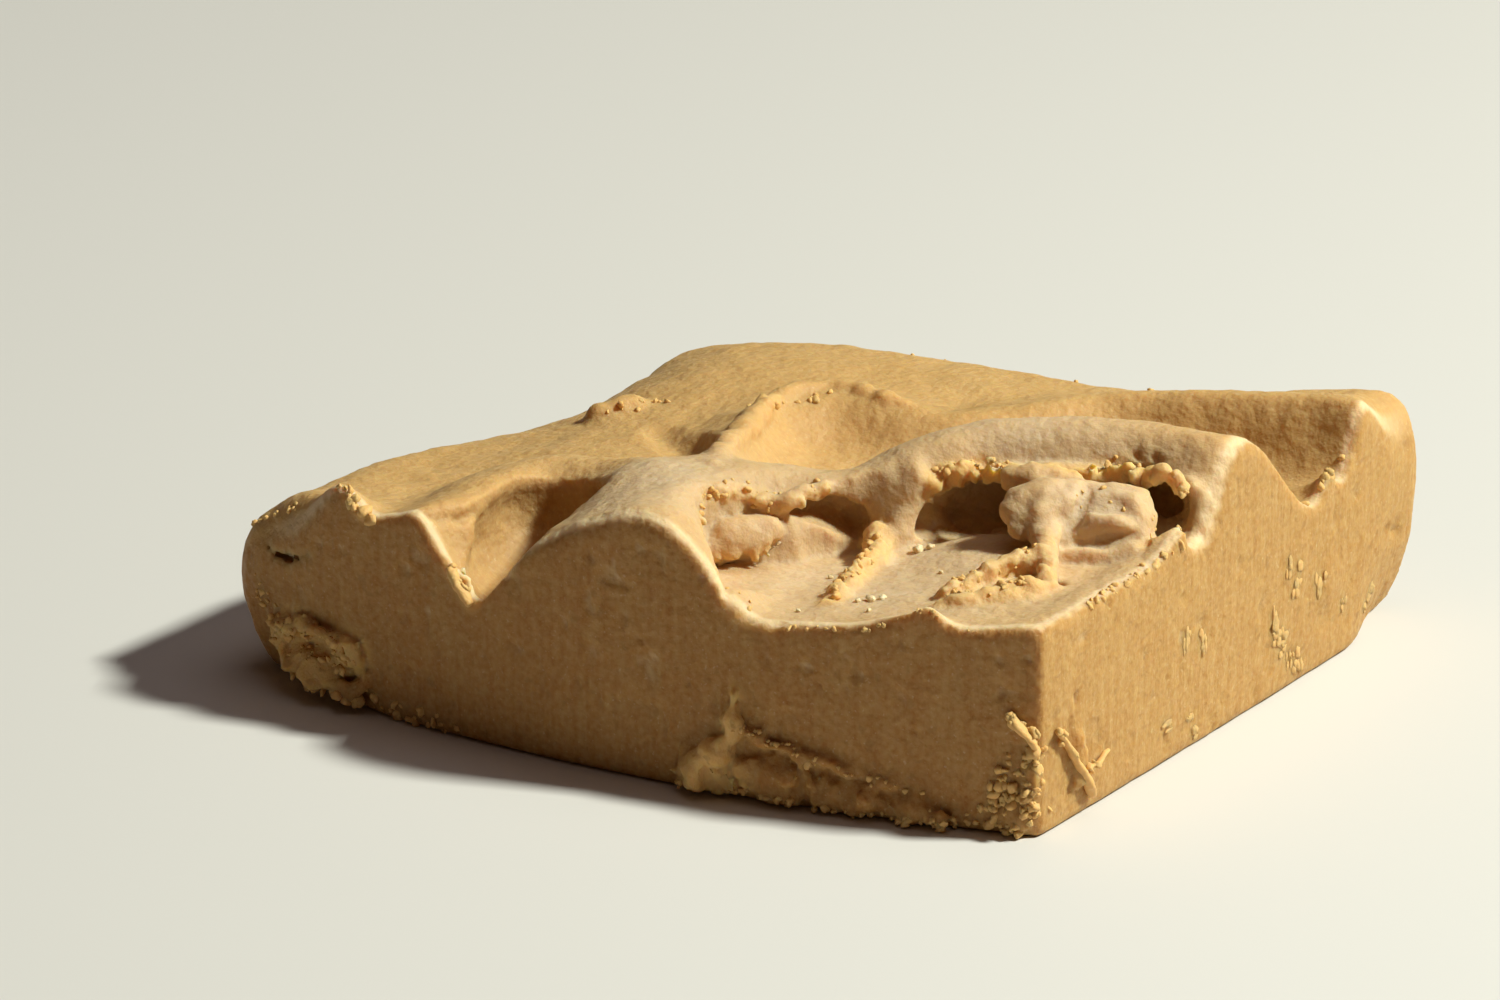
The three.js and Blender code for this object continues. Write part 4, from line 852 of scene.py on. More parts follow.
class Field:
    """Distances on a grid: negative in the fudge and positive in the air."""

    def __init__(self, form, step):
        self.form = form
        self.axes = [grid_axis(low, high, step, spacing) for low, high, spacing in GRID_AXES]
        x, y = np.meshgrid(self.axes[0], self.axes[1], indexing="ij")
        z = self.axes[2]
        top = form.top_height(x, y)
        self.values = ((z[None, None, :] - top[:, :, None]) * TOP_SLOPE).astype(np.float32)

    def local(self, low, high):
        """Slices and coordinates of the grid inside a box."""
        slices = []
        for axis, a, b in zip(self.axes, low, high):
            first, last = np.searchsorted(axis, (a, b))
            slices.append(slice(max(first - 1, 0), min(last + 1, len(axis))))
        x = self.axes[0][slices[0]][:, None, None]
        y = self.axes[1][slices[1]][None, :, None]
        z = self.axes[2][slices[2]][None, None, :]
        return tuple(slices), x, y, z

    def rough_strands(self, strands, finish, grain):
        """For each strand, the grid's slices round it and the distances to it, roughened by the finish."""
        roughness, _, first_seed = finish
        for seed, strand in enumerate(strands, first_seed):
            beads = np.array(strand)
            reach = beads[:, 3:4] + STRAND_MARGIN
            low, high = (beads[:, :3] - reach).min(axis=0), (beads[:, :3] + reach).max(axis=0)
            slices, x, y, z = self.local(low, high)
            rough = noise_over(x, y, z, ((grain, roughness, seed, 1),))
            yield slices, strand_distance(strand, x, y, z) + rough

    def carve(self, strands, finish):
        """Take strands out of the fudge."""
        for slices, hollow in self.rough_strands(strands, finish, HOLLOW_GRAIN):
            self.values[slices] = smooth_max(self.values[slices], -hollow, finish[1])

    def lay(self, strands, finish):
        """Add strands to the fudge."""
        for slices, body in self.rough_strands(strands, finish, STRAND_GRAIN):
            self.values[slices] = smooth_min(self.values[slices], body, finish[1])

    def add_lump(self, centre, size, roughness, seed):
        """Add a rough lump with half sizes along x, y and z."""
        centre, size = np.array(centre), np.array(size)
        reach = size * LUMP_REACH + LUMP_MARGIN
        slices, x, y, z = self.local(centre - reach, centre + reach)
        across = ((x - centre[0]) / size[0]) ** 2
        along = ((y - centre[1]) / size[1]) ** 2
        upward = ((z - centre[2]) / size[2]) ** 2
        layers = [(*grain, seed + place, 1) for place, grain in enumerate(LUMP_GRAINS)]
        rough = roughness * noise_over(x, y, z, layers)
        body = (np.sqrt(across + along + upward) - 1 + rough) * size.min()
        self.values[slices] = smooth_min(self.values[slices], body, LUMP_BLEND)

    def cut_sides(self):
        """Cut away what lies outside the sides, with a rounded rim along the top."""
        x, y = np.meshgrid(self.axes[0], self.axes[1], indexing="ij")
        z = self.axes[2]
        distance, depth, rounding, share = self.form.side_distance(x, y, z)
        side = distance[:, :, None] + depth[:, :, None] * share[None, None, :]
        rounding = rounding[:, :, None].astype(np.float32)
        self.values = smooth_max(self.values, side.astype(np.float32), 2 * rounding)

    def cut_base(self):
        """Cut away what lies below the flat base."""
        self.values = np.maximum(self.values, -self.axes[2][None, None, :].astype(np.float32))


def grid_pairs(axis, plain):
    """Slices that pair each grid place with the next along one axis, with plain slices along the others."""
    near = [plain] * 3
    far = [plain] * 3
    near[axis] = slice(None, -1)
    far[axis] = slice(1, None)
    return tuple(near), tuple(far)


def cell_points(field, solid):
    """One point for each cell that the surface crosses, and the cells' grid of point numbers."""
    values = field.values
    shape = tuple(n - 1 for n in values.shape)
    sums = [np.zeros(shape, np.float32) for _ in range(3)]
    count = np.zeros(shape, np.uint8)
    for axis in range(3):
        near, far = grid_pairs(axis, slice(None))
        crossed = solid[near] != solid[far]
        with np.errstate(divide="ignore", invalid="ignore"):
            share = np.where(crossed, values[near] / (values[near] - values[far]), 0)
        u, v = (axis + 1) % 3, (axis + 2) % 3
        for step_u in (0, 1):
            for step_v in (0, 1):
                window = [slice(None)] * 3
                window[u] = slice(step_u, step_u + shape[u])
                window[v] = slice(step_v, step_v + shape[v])
                hit = crossed[tuple(window)]
                count += hit
                sums[axis] += share[tuple(window)]
                sums[u] += step_u * hit
                sums[v] += step_v * hit
    cells = np.nonzero(count)
    hits = count[cells].astype(np.float32)
    columns = []
    for axis, places in enumerate(field.axes):
        spots = cells[axis] + sums[axis][cells] / hits
        columns.append(np.interp(spots, np.arange(len(places)), places))
    index = np.full(shape, -1, np.int32)
    index[cells] = np.arange(len(hits))
    return np.stack(columns, axis=1), index


def trace_surface(field):
    """Points and four-cornered faces where the field changes sign, one face for each crossed grid edge."""
    solid = field.values < 0
    points, index = cell_points(field, solid)
    faces = []
    for axis in range(3):
        near, far = grid_pairs(axis, slice(1, -1))
        a, b = solid[near], solid[far]
        u, v = (axis + 1) % 3, (axis + 2) % 3
        for flip, mask in ((False, a & ~b), (True, ~a & b)):
            spots = list(np.nonzero(mask))
            spots[u] = spots[u] + 1
            spots[v] = spots[v] + 1
            ring = []
            for step_u, step_v in ((0, 0), (1, 0), (1, 1), (0, 1)):
                corner = list(spots)
                corner[u] = corner[u] - step_u
                corner[v] = corner[v] - step_v
                ring.append(index[tuple(corner)])
            faces.append(np.stack(ring[::-1] if flip else ring, axis=1))
    return points, np.vstack(faces)


def new_mesh_object(name, points, faces):
    """A smooth-shaded mesh from millimetre points in the drawing's plan."""
    mesh = bpy.data.meshes.new(name)
    moved = (np.asarray(points) - np.array([MIDDLE[0], MIDDLE[1], 0])) * MM
    mesh.from_pydata(moved.tolist(), [], [list(face) for face in faces])
    mesh.validate()
    mesh.shade_smooth()
    mesh.update()
    piece = bpy.data.objects.new(name, mesh)
    bpy.context.scene.collection.objects.link(piece)
    return piece


def keep_largest_body(points, faces):
    """The faces of the largest joined body, with its points alone."""
    body = np.arange(len(points))
    while True:
        lowest = body[faces].min(axis=1)
        spread = body.copy()
        np.minimum.at(spread, faces.ravel(), np.repeat(lowest, faces.shape[1]))
        spread = spread[spread]
        if np.array_equal(spread, body):
            break
        body = spread
    main = np.bincount(body).argmax()
    kept = faces[body[faces[:, 0]] == main]
    used, renumbered = np.unique(kept, return_inverse=True)
    return points[used], renumbered.reshape(kept.shape)


def close_base(piece):
    """Swap the many small faces of the flat base for one."""
    shape = bmesh.new()
    shape.from_mesh(piece.data)
    flat = [face for face in shape.faces if max(v.co.z for v in face.verts) < BASE_SKIN * MM]
    bmesh.ops.delete(shape, geom=flat, context="FACES")
    rim = [edge for edge in shape.edges if edge.is_boundary]
    bmesh.ops.holes_fill(shape, edges=rim)
    shape.to_mesh(piece.data)
    shape.free()
    piece.data.shade_smooth()


def vertex_normals(points, faces):
    """Unit normals at the points of a mesh of four-cornered faces."""
    a, b, c, d = (points[faces[:, i]] for i in range(4))
    face_normals = np.cross(c - a, d - b)
    normals = np.zeros_like(points)
    for i in range(4):
        np.add.at(normals, faces[:, i], face_normals)
    return normals / np.maximum(np.linalg.norm(normals, axis=1, keepdims=True), 1e-9)


def give_attribute(mesh, name, values):
    """Store a value for each point, for the material to read."""
    layer = mesh.attributes.new(name, "FLOAT", "POINT")
    layer.data.foreach_set("value", np.asarray(values, dtype=np.float32))


def add_teeth(field):
    """Small ragged lumps in a row along each torn edge."""
    random = np.random.default_rng(TOOTH_RANDOM)
    for count, wide, high, run in TEETH:
        for share in np.linspace(0, 1, count):
            centre = point_along(run, share) + random.normal(0, TOOTH_STRAY, 3)
            size = np.array([wide, wide, high]) * random.uniform(*TOOTH_SHAPE, 3)
            field.add_lump(centre, size, TOOTH_ROUGHNESS, int(random.integers(*TOOTH_SEEDS)))


def point_along(run, share):
    """The place at a share of a run of straight pieces."""
    rows = np.array(run, dtype=float)
    lengths = np.linalg.norm(np.diff(rows, axis=0), axis=1)
    walked = np.concatenate([[0], np.cumsum(lengths)]) / lengths.sum()
    return np.array([np.interp(share, walked, rows[:, axis]) for axis in range(rows.shape[1])])


def fudge_field(form, step):
    """The field of the whole slab: the top, its hollows and strands, then the cut faces and the base."""
    field = Field(form, step)
    field.carve([LEFT_BOWL], BOWL_FINISH)
    field.carve([SHEET_EDGE], SHEET_FINISH)
    field.carve(CAVES, CAVE_FINISH)
    field.lay([COLUMN_EDGE], COLUMN_FINISH)
    field.lay(STRANDS, STRAND_FINISH)
    field.carve([TROUGH], TROUGH_FINISH)
    field.lay(FOLDS, FOLD_FINISH)
    field.carve(CREASES, CREASE_FINISH)
    add_teeth(field)
    field.cut_sides()
    for number, (centre, size) in enumerate(LUMPS):
        field.add_lump(centre, size, LUMP_ROUGHNESS, LUMP_SEED + len(LUMP_GRAINS) * number)
    field.lay(LEDGES, LEDGE_FINISH)
    field.carve(HOLES, HOLE_FINISH)
    field.cut_base()
    return field


def side_inset(form, points):
    """How far each point lies outside the slab's tucked-in sides, and negative inside."""
    distance, tuck, _, share = form.side_distance(*points.T)
    return distance + tuck * share


def cut_share(form, points):
    """How far each point belongs to a knife-cut or loaf side: 1 on the sides, 0 on the swirled top."""
    return smooth_step(*CUT_FADE, side_inset(form, points))


def front_shade_share(points, cut):
    """How far each point belongs to the long cut face, painted browner than the short one to stand for the
    shade it lies in.
    """
    return cut * smooth_step(*FRONT_SHADE_FADE_X, points[:, 0]) * smooth_step(*FRONT_SHADE_FADE_Y, points[:, 1])


def rim_glow_share(form, points):
    """How far each point gets the painted glow, a pale band for light seeping through the rim between a cut
    face and the swirled top.
    """
    inset = side_inset(form, points) + layered_noise(points, RIM_GLOW_WANDER)
    x, y, z = points.T
    band = smooth_step(*RIM_GLOW_INNER, inset) * smooth_step(*RIM_GLOW_OUTER, inset)
    return band * smooth_step(*RIM_GLOW_FADE_Z, z) * smooth_step(*RIM_GLOW_FADE_Y, y) * smooth_step(*RIM_GLOW_FADE_X, x)


def cream_share(points):
    """How pinkish and pale the swirled top is: most in the main scoop and on the arch round it."""
    share = np.zeros(len(points))
    for place in CREAMY_PLACES:
        share = np.maximum(share, swell_share(points[:, 0], points[:, 1], *place))
    return share


def strand_share(points, strands):
    """How near each point is to any of the strands, given with their most and the fade round them."""
    share = np.zeros(len(points))
    for most, fade, strand in strands:
        share = np.maximum(share, most * smooth_step(*fade, strand_distance(strand, *points.T)))
    return share


def torn_share(points):
    """Where the fudge tore rather than smeared."""
    strands = [(1, TORN_FADE, strand) for strand in TORN_PLACES]
    for _, wide, high, run in TEETH:
        strand = [(*spot, TOOTH_REACH * max(wide, high)) for spot in run]
        strands.append((TOOTH_SHARE, TOOTH_FADE, strand))
    return strand_share(points, strands)


def painted_shade_share(points):
    """Painted shade: where the fudge is coloured darker for the shade in the scoops, the hollows, the slit
    and the shaded bands.
    """
    return strand_share(points, [(most, PAINTED_SHADE_FADE, strand) for most, strand in PAINTED_SHADE_PLACES])


def surface_relief(points, cut, torn):
    """How far each point is pushed out: soft lumps, drag marks on the cut faces, crags where it tore."""
    drag = layered_noise(points, DRAG_MARKS)
    smear = layered_noise(points, SOFT_LUMPS)
    crag = layered_noise(points, TORN_CRAGS)
    pits = -PIT_DEPTH * smooth_step(*PIT_FADE, layered_noise(points, PIT_PATTERN))
    relief = mix(smear, drag + pits, cut) * (1 - torn) + crag * torn + layered_noise(points, FINE_GRAIN)
    return relief * smooth_step(*RELIEF_FADE, points[:, 2])


def new_material(name):
    """A material with its node tree and its shader."""
    material = bpy.data.materials.new(name)
    material.use_nodes = True
    return material, material.node_tree, material.node_tree.nodes["Principled BSDF"]


def let_light_seep(shader, share, reach, colours):
    """Let light into the surface, with its reach and how far red, green and blue go."""
    shader.inputs["Subsurface Weight"].default_value = share
    shader.inputs["Subsurface Radius"].default_value = colours
    shader.inputs["Subsurface Scale"].default_value = reach


def attribute_node(tree, name):
    """The value that each point of the mesh stores under a name."""
    node = tree.nodes.new("ShaderNodeAttribute")
    node.attribute_name = name
    return node.outputs["Fac"]


def noise_node(tree, scale, detail, stretch=None):
    """Noise in the object's own coordinates, drawn out along an axis whose stretch is small."""
    coordinates = tree.nodes.new("ShaderNodeTexCoord").outputs["Object"]
    if stretch:
        mapping = tree.nodes.new("ShaderNodeMapping")
        mapping.inputs["Scale"].default_value = stretch
        tree.links.new(coordinates, mapping.inputs["Vector"])
        coordinates = mapping.outputs["Vector"]
    noise = tree.nodes.new("ShaderNodeTexNoise")
    noise.inputs["Scale"].default_value = scale
    noise.inputs["Detail"].default_value = detail
    tree.links.new(coordinates, noise.inputs["Vector"])
    return noise.outputs["Fac"]


def ramp_node(tree, value, low, high):
    """The value stretched so that low gives 0 and high gives 1."""
    ramp = tree.nodes.new("ShaderNodeMapRange")
    ramp.inputs["From Min"].default_value = low
    ramp.inputs["From Max"].default_value = high
    tree.links.new(value, ramp.inputs["Value"])
    return ramp.outputs["Result"]


def pattern_node(tree, scale, detail, low, high, stretch=None):
    """A colour pattern between 0 and 1."""
    return ramp_node(tree, noise_node(tree, scale, detail, stretch), low, high)


def times_node(tree, a, b):
    """The first value times the second, which may be a plain number."""
    product = tree.nodes.new("ShaderNodeMath")
    product.operation = "MULTIPLY"
    for socket, value in zip(product.inputs, (a, b)):
        if isinstance(value, float):
            socket.default_value = value
        else:
            tree.links.new(value, socket)
    return product.outputs["Value"]


def mix_node(tree, share, a, b):
    """Colour a turning to colour b as the share rises."""
    blend = tree.nodes.new("ShaderNodeMix")
    blend.data_type = "RGBA"
    tree.links.new(share, blend.inputs["Factor"])
    for socket, colour in ((blend.inputs["A"], a), (blend.inputs["B"], b)):
        if isinstance(colour, tuple):
            socket.default_value = colour + (1.0,)
        else:
            tree.links.new(colour, socket)
    return blend.outputs["Result"]


def coat_node(tree, ground, share, strength, colour):
    """The ground with a share of another colour laid over it, thinned by its strength."""
    return mix_node(tree, times_node(tree, share, strength), ground, tuple(colour))


def bump_node(tree, height, distance, under=None):
    """The surface's lean from a height, on top of any lean from under it."""
    bump = tree.nodes.new("ShaderNodeBump")
    bump.inputs["Strength"].default_value = 1.0
    bump.inputs["Distance"].default_value = distance
    tree.links.new(height, bump.inputs["Height"])
    if under:
        tree.links.new(under, bump.inputs["Normal"])
    return bump.outputs["Normal"]


def round_lump():
    """Points and triangles of a unit ball, the start of every crumb."""
    shape = bmesh.new()
    bmesh.ops.create_icosphere(shape, subdivisions=2, radius=1)
    points = np.array([tuple(v.co) for v in shape.verts])
    faces = [[v.index for v in face.verts] for face in shape.faces]
    shape.free()
    return points, faces


def slab_surface():
    """The finished slab's points in the drawing's plan, their normals, and a tree to find them by."""
    slab = bpy.data.objects.get("penuche_slab")
    if slab is None:
        raise RuntimeError("the slab has to be made before what sits on it")
    count = len(slab.data.vertices)
    points = np.empty(count * 3)
    normals = np.empty(count * 3)
    slab.data.vertices.foreach_get("co", points)
    slab.data.vertices.foreach_get("normal", normals)
    points = points.reshape(-1, 3) / MM + np.array([MIDDLE[0], MIDDLE[1], 0])
    tree = KDTree(count)
    for index, point in enumerate(points):
        tree.insert(point, index)
    tree.balance()
    return points, normals.reshape(-1, 3), tree


def turned(direction, spin):
    """Axes whose third points along a direction, turned about it by an angle."""
    turn = Vector(direction).to_track_quat("Z", "Y").to_matrix() @ Matrix.Rotation(spin, 3, "Z")
    return np.array(turn)


class Heap:
    """Lumps gathered into one mesh."""

    def __init__(self):
        self.ball, self.triangles = round_lump()
        self.points = []
        self.faces = []
        self.count = 0

    def add(self, points, faces):
        """Gather one more closed shape."""
        self.points.append(points)
        self.faces.extend([corner + self.count for corner in face] for face in faces)
        self.count += len(points)

    def add_lump(self, centre, halves, axes, seed):
        """A craggy lump with the given half sizes along its axes, kept above the base."""
        crag = layered_noise(self.ball + seed * CRUMB_SHIFT, CRUMB_CRAGS)
        points = self.ball * (1 + crag)[:, None] * np.asarray(halves)
        points = points @ axes.T + centre
        points[:, 2] = np.maximum(points[:, 2], LOWEST_CRUMB)
        self.add(points, self.triangles)

    def mesh_object(self, name):
        """One mesh object of all that was gathered."""
        return new_mesh_object(name, np.vstack(self.points), self.faces)


def crumb_heap():
    """Crumbs strewn along their runs, each stuck to the nearest place of the slab."""
    points, normals, tree = slab_surface()
    heap = Heap()
    random = np.random.default_rng(CRUMB_RANDOM)
    for count, smallest, largest, stray, run in CRUMB_RUNS.values():
        for _ in range(count):
            spot = point_along(run, random.random()) + random.normal(0, stray, 3)
            size = smallest + (largest - smallest) * random.random() ** 2
            _, index, _ = tree.find(spot)
            centre = points[index] + normals[index] * size * random.uniform(*CRUMB_STAND)
            halves = size * random.uniform(*CRUMB_SHAPE, 3)
            axes = turned(random.normal(0, 1, 3), random.uniform(0, CRUMB_SPIN))
            heap.add_lump(centre, halves, axes, heap.count % CRUMB_KINDS)
    return heap


def sugar_heap():
    """Sugary crumbs that lie on the slab at their places."""
    points, normals, tree = slab_surface()
    heap = Heap()
    for number, (x, y, z, size) in enumerate(SUGAR_CRUMBS):
        _, index, _ = tree.find((x, y, z))
        centre = points[index] + normals[index] * size * SUGAR_STAND
        heap.add_lump(centre, size * np.array(SUGAR_SHAPE), turned((0, 0, 1), number), number + SUGAR_SEED)
    return heap


def smear_heap():
    """Smears on the right cut face, each made of thin dabs round its middle."""
    points, _, tree = slab_surface()
    heap = Heap()
    random = np.random.default_rng(SMEAR_RANDOM)
    for y, z, wide, high in SMEARS:
        for _ in range(SMEAR_DABS):
            dab_y = y + random.normal(0, DAB_STRAY[0] * wide)
            dab_z = z + random.normal(0, DAB_STRAY[1] * high)
            _, index, _ = tree.find((RIGHT_CORNER[0], dab_y, dab_z))
            halves = np.array([wide, high, SMEAR_THICKNESS]) * random.uniform(*DAB_SHAPE, 3)
            heap.add_lump(points[index], halves, turned((1, 0, 0), 0), heap.count % CRUMB_KINDS)
    return heap


def shaving_points(middles, seed):
    """Rings of points round rows of x, y, z, half width, with uneven sides."""
    ways = np.array([np.gradient(middles[:, axis]) for axis in range(3)]).T
    rings = []
    for middle, way in zip(middles, ways):
        axes = turned(way / np.linalg.norm(way), 0)
        for side in range(SHAVING_SIDES):
            angle = 2 * math.pi * side / SHAVING_SIDES
            wide = axes[:, 0] * math.cos(angle) * SHAVING_FLATNESS[0]
            thick = axes[:, 1] * math.sin(angle) * SHAVING_FLATNESS[1]
            rings.append(middle[:3] + (wide + thick) * middle[3])
    points = np.array(rings)
    uneven = layered_noise(points, ((SHAVING_GRAIN, SHAVING_UNEVENNESS, seed, 1),))[:, None]
    centres = np.repeat(middles[:, :3], SHAVING_SIDES, axis=0)
    points = points + (points - centres) * uneven
    points[:, 2] = np.maximum(points[:, 2], LOWEST_CRUMB)
    return points


def shaving_faces():
    """Faces between the rings of a shaving, with an end cap on each end."""
    faces = []
    for ring in range(SHAVING_RINGS - 1):
        for side in range(SHAVING_SIDES):
            a = ring * SHAVING_SIDES + side
            b = ring * SHAVING_SIDES + (side + 1) % SHAVING_SIDES
            faces.append((a, b, b + SHAVING_SIDES, a + SHAVING_SIDES))
    last = (SHAVING_RINGS - 1) * SHAVING_SIDES
    faces.append(tuple(reversed(range(SHAVING_SIDES))))
    faces.append(tuple(range(last, last + SHAVING_SIDES)))
    return faces


def shaving_heap():
    """Shavings along their paths, each with a few nodules on its upper part."""
    heap = Heap()
    random = np.random.default_rng(NODULE_RANDOM)
    for number, path in enumerate(SHAVINGS):
        middles = np.array([point_along(path, share) for share in np.linspace(0, 1, SHAVING_RINGS)])
        heap.add(shaving_points(middles, SHAVING_SEED + number), shaving_faces())
        for nodule in range(NODULES):
            place = point_along(path, NODULED_SHARE * random.random())
            size = random.uniform(*NODULE_SIZES)
            centre = place[:3] + random.normal(0, NODULE_STRAY, 3)
            axes = turned(random.normal(0, 1, 3), 0)
            seed = NODULE_SEED + NODULES * number + nodule
            heap.add_lump(centre, size * np.array(NODULE_SHAPE), axes, seed)
    return heap


def fudge_ground(tree, colours):
    """Colour of the fudge: ochre where a knife cut it, creamier where it was smeared, and clouded, with
    painted shade on the long cut face, in the hollows and in pin holes, and a painted glow under the rims.
    """
    cut = attribute_node(tree, "cut")
    smeared = mix_node(tree, attribute_node(tree, "cream"), tuple(colours.fudge), tuple(colours.cream))
    ground = mix_node(tree, cut, smeared, tuple(colours.cut))
    # Painted shade: the long cut face is coloured browner to stand for the shade it lies in
    ground = mix_node(tree, attribute_node(tree, "front"), ground, tuple(colours.front))
    ground = coat_node(tree, ground, pattern_node(tree, *CLOUDS), CLOUD_STRENGTH, colours.dark)
    # Painted shade: the scoops, hollows, slit and shaded bands are coloured darker to stand for their shade
    ground = mix_node(tree, attribute_node(tree, "painted_shade"), ground, tuple(colours.painted_shade))
    ground = coat_node(tree, ground, attribute_node(tree, "torn"), TORN_STRENGTH, colours.torn)
    ground = coat_node(tree, ground, pattern_node(tree, *GRAIN), GRAIN_STRENGTH, colours.pale)
    # Painted glow: a pale band just under the rim of the cut faces, standing for light that seeps through
    # the rim
    ground = coat_node(tree, ground, attribute_node(tree, "edge"), RIM_GLOW_STRENGTH, colours.edge)
    streaks = times_node(tree, pattern_node(tree, *STREAKS, UPRIGHT), cut)
    ground = coat_node(tree, ground, streaks, STREAK_STRENGTH, colours.pale)
    ground = coat_node(tree, ground, pattern_node(tree, *SPECKS), SPECK_STRENGTH, colours.sugar)
    # Painted shade: dark spots on the cut faces for the shade in small pin holes
    pin_hole_shade = times_node(tree, pattern_node(tree, *PIN_HOLE_SHADE), cut)
    return coat_node(tree, ground, pin_hole_shade, PIN_HOLE_SHADE_STRENGTH, colours.painted_shade)


def fudge_relief(tree):
    """Fine relief of the fudge: grain all over, and upright marks of the knife on the cut faces."""
    scale, detail, height = FUDGE_RELIEF
    grain = bump_node(tree, noise_node(tree, scale, detail), height)
    scale, detail, height = STREAK_RELIEF
    marks = times_node(tree, noise_node(tree, scale, detail, UPRIGHT), attribute_node(tree, "cut"))
    return bump_node(tree, marks, height, grain)


def fudge_material(colours, name, seep):
    """Waxy brown-sugar fudge, finely grained, with light seeping through it."""
    material, tree, shader = new_material(name)
    tree.links.new(fudge_ground(tree, colours), shader.inputs["Base Color"])
    rough = mix_node(tree, pattern_node(tree, *GRAIN), DULL, SATIN)
    tree.links.new(rough, shader.inputs["Roughness"])
    shader.inputs["Specular IOR Level"].default_value = FUDGE_SHEEN
    let_light_seep(shader, *seep)
    tree.links.new(fudge_relief(tree), shader.inputs["Normal"])
    return material


def crumb_material(colours):
    """The slab's material with less light seeping through, made the first time that it is asked for."""
    return bpy.data.materials.get("penuche_crumb") or fudge_material(colours, "penuche_crumb", CRUMB_SEEP)


def sugar_material(colours):
    """Pale, rough sugar lumps with a little fudge on them."""
    material, tree, shader = new_material("sugar")
    cloudy = times_node(tree, pattern_node(tree, *SUGAR_CLOUDS), SUGAR_CLOUD_STRENGTH)
    ground = mix_node(tree, cloudy, tuple(colours.sugar), tuple(colours.pale))
    tree.links.new(ground, shader.inputs["Base Color"])
    shader.inputs["Roughness"].default_value = SUGAR_ROUGHNESS
    let_light_seep(shader, *SUGAR_SEEP)
    scale, detail, height = SUGAR_RELIEF
    tree.links.new(bump_node(tree, noise_node(tree, scale, detail), height), shader.inputs["Normal"])
    return material


def finish_detail(piece, material, torn):
    """Give a small piece its material and its share of the torn colour, and let it ride on the slab."""
    give_attribute(piece.data, "torn", np.full(len(piece.data.vertices), torn))
    piece.data.materials.append(material)
    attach(piece, "root")


class FudgeSizes(bpy.types.PropertyGroup):
    front_bow: bpy.props.FloatProperty(
        name="Front bow", description="How far the long cut face bows outward, in millimetres", default=6.5
    )
    plateau: bpy.props.FloatProperty(
        name="Plateau", description="Height of the top away from the swirls, in millimetres", default=20.4
    )
    ragged: bpy.props.FloatProperty(
        name="Ragged lip", description="How far the torn lip wanders, in millimetres", default=0.45
    )
    step: bpy.props.FloatProperty(
        name="Mesh step", description="Spacing of the traced surface, in millimetres", default=0.5
    )


def colour_property(name, description, default):
    return bpy.props.FloatVectorProperty(
        name=name, description=description, subtype="COLOR", size=3, default=default
    )


class FudgeColours(bpy.types.PropertyGroup):
    fudge: colour_property("Fudge", "Colour of the smeared top", (0.575, 0.332, 0.126))
    cream: colour_property("Cream", "Colour of the smeared top round the main scoop", (0.64, 0.465, 0.30))
    cut: colour_property("Cut faces", "Colour of the knife-cut faces", (0.415, 0.208, 0.057))
    # Painted shade: the long cut face's colour is a darker copy of the cut colour, standing for its shade
    front: colour_property("Front face", "Colour of the long cut face", (0.37, 0.15, 0.032))
    dark: colour_property("Clouding", "Colour that clouds the fudge darker", (0.40, 0.205, 0.06))
    pale: colour_property("Grain", "Colour of the fine sugar grain", (0.66, 0.44, 0.18))
    # Painted shade: darker colour that stands for the shade in the hollows, scoops, slit, shaded bands and
    # pin holes
    painted_shade: colour_property("Deep", "Colour of the deeper scoops", (0.31, 0.155, 0.045))
    torn: colour_property("Torn", "Colour of the torn lips and the crumbs", (0.75, 0.44, 0.155))
    sugar: colour_property("Sugar", "Colour of the coarser sugar specks", (0.80, 0.66, 0.42))
    # Painted glow: pale colour of the band under the cut faces' rims, standing for light that seeps through
    # the rim
    edge: colour_property("Edges", "Colour of the dried edge of the cut faces", (0.80, 0.60, 0.36))
    floor: colour_property("Floor", "Colour of the studio floor", (0.68, 0.65, 0.62))


class FUDGE_OT_slab(bpy.types.Operator):
    """Make the slab of fudge in place of the plain CAD solid"""

    bl_idname = "fudge.slab"
    bl_label = "Fudge slab"

    def execute(self, context):
        sizes = context.scene.fudge_sizes
        form = SlabForm(sizes)
        points, faces = keep_largest_body(*trace_surface(fudge_field(form, sizes.step)))
        cut = cut_share(form, points)
        torn = torn_share(points)
        relief = surface_relief(points, cut, torn)
        points = points + vertex_normals(points, faces) * relief[:, None]
        piece = new_mesh_object("penuche_slab", points, faces)
        give_attribute(piece.data, "cut", cut)
        # Share of painted shade, highest in the hollows and bands that lie in shade
        give_attribute(piece.data, "painted_shade", painted_shade_share(points))
        give_attribute(piece.data, "cream", cream_share(points))
        give_attribute(piece.data, "torn", torn)
        # Share of the painted glow under the rims
        give_attribute(piece.data, "edge", rim_glow_share(form, points))
        # Share of the painted shade on the long cut face
        give_attribute(piece.data, "front", front_shade_share(points, cut))
        close_base(piece)
        piece.data.materials.append(fudge_material(context.scene.fudge_colours, "penuche", SLAB_SEEP))
        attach(piece, "root")
        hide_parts("fudge_slab")
        return {"FINISHED"}


class FUDGE_OT_crumbs(bpy.types.Operator):
    """Scatter crumbs along the torn lips, the rims and the foot of the slab"""

    bl_idname = "fudge.crumbs"
    bl_label = "Crumbs"

    def execute(self, context):
        material = crumb_material(context.scene.fudge_colours)
        finish_detail(crumb_heap().mesh_object("penuche_crumbs"), material, CRUMB_TORN)
        return {"FINISHED"}


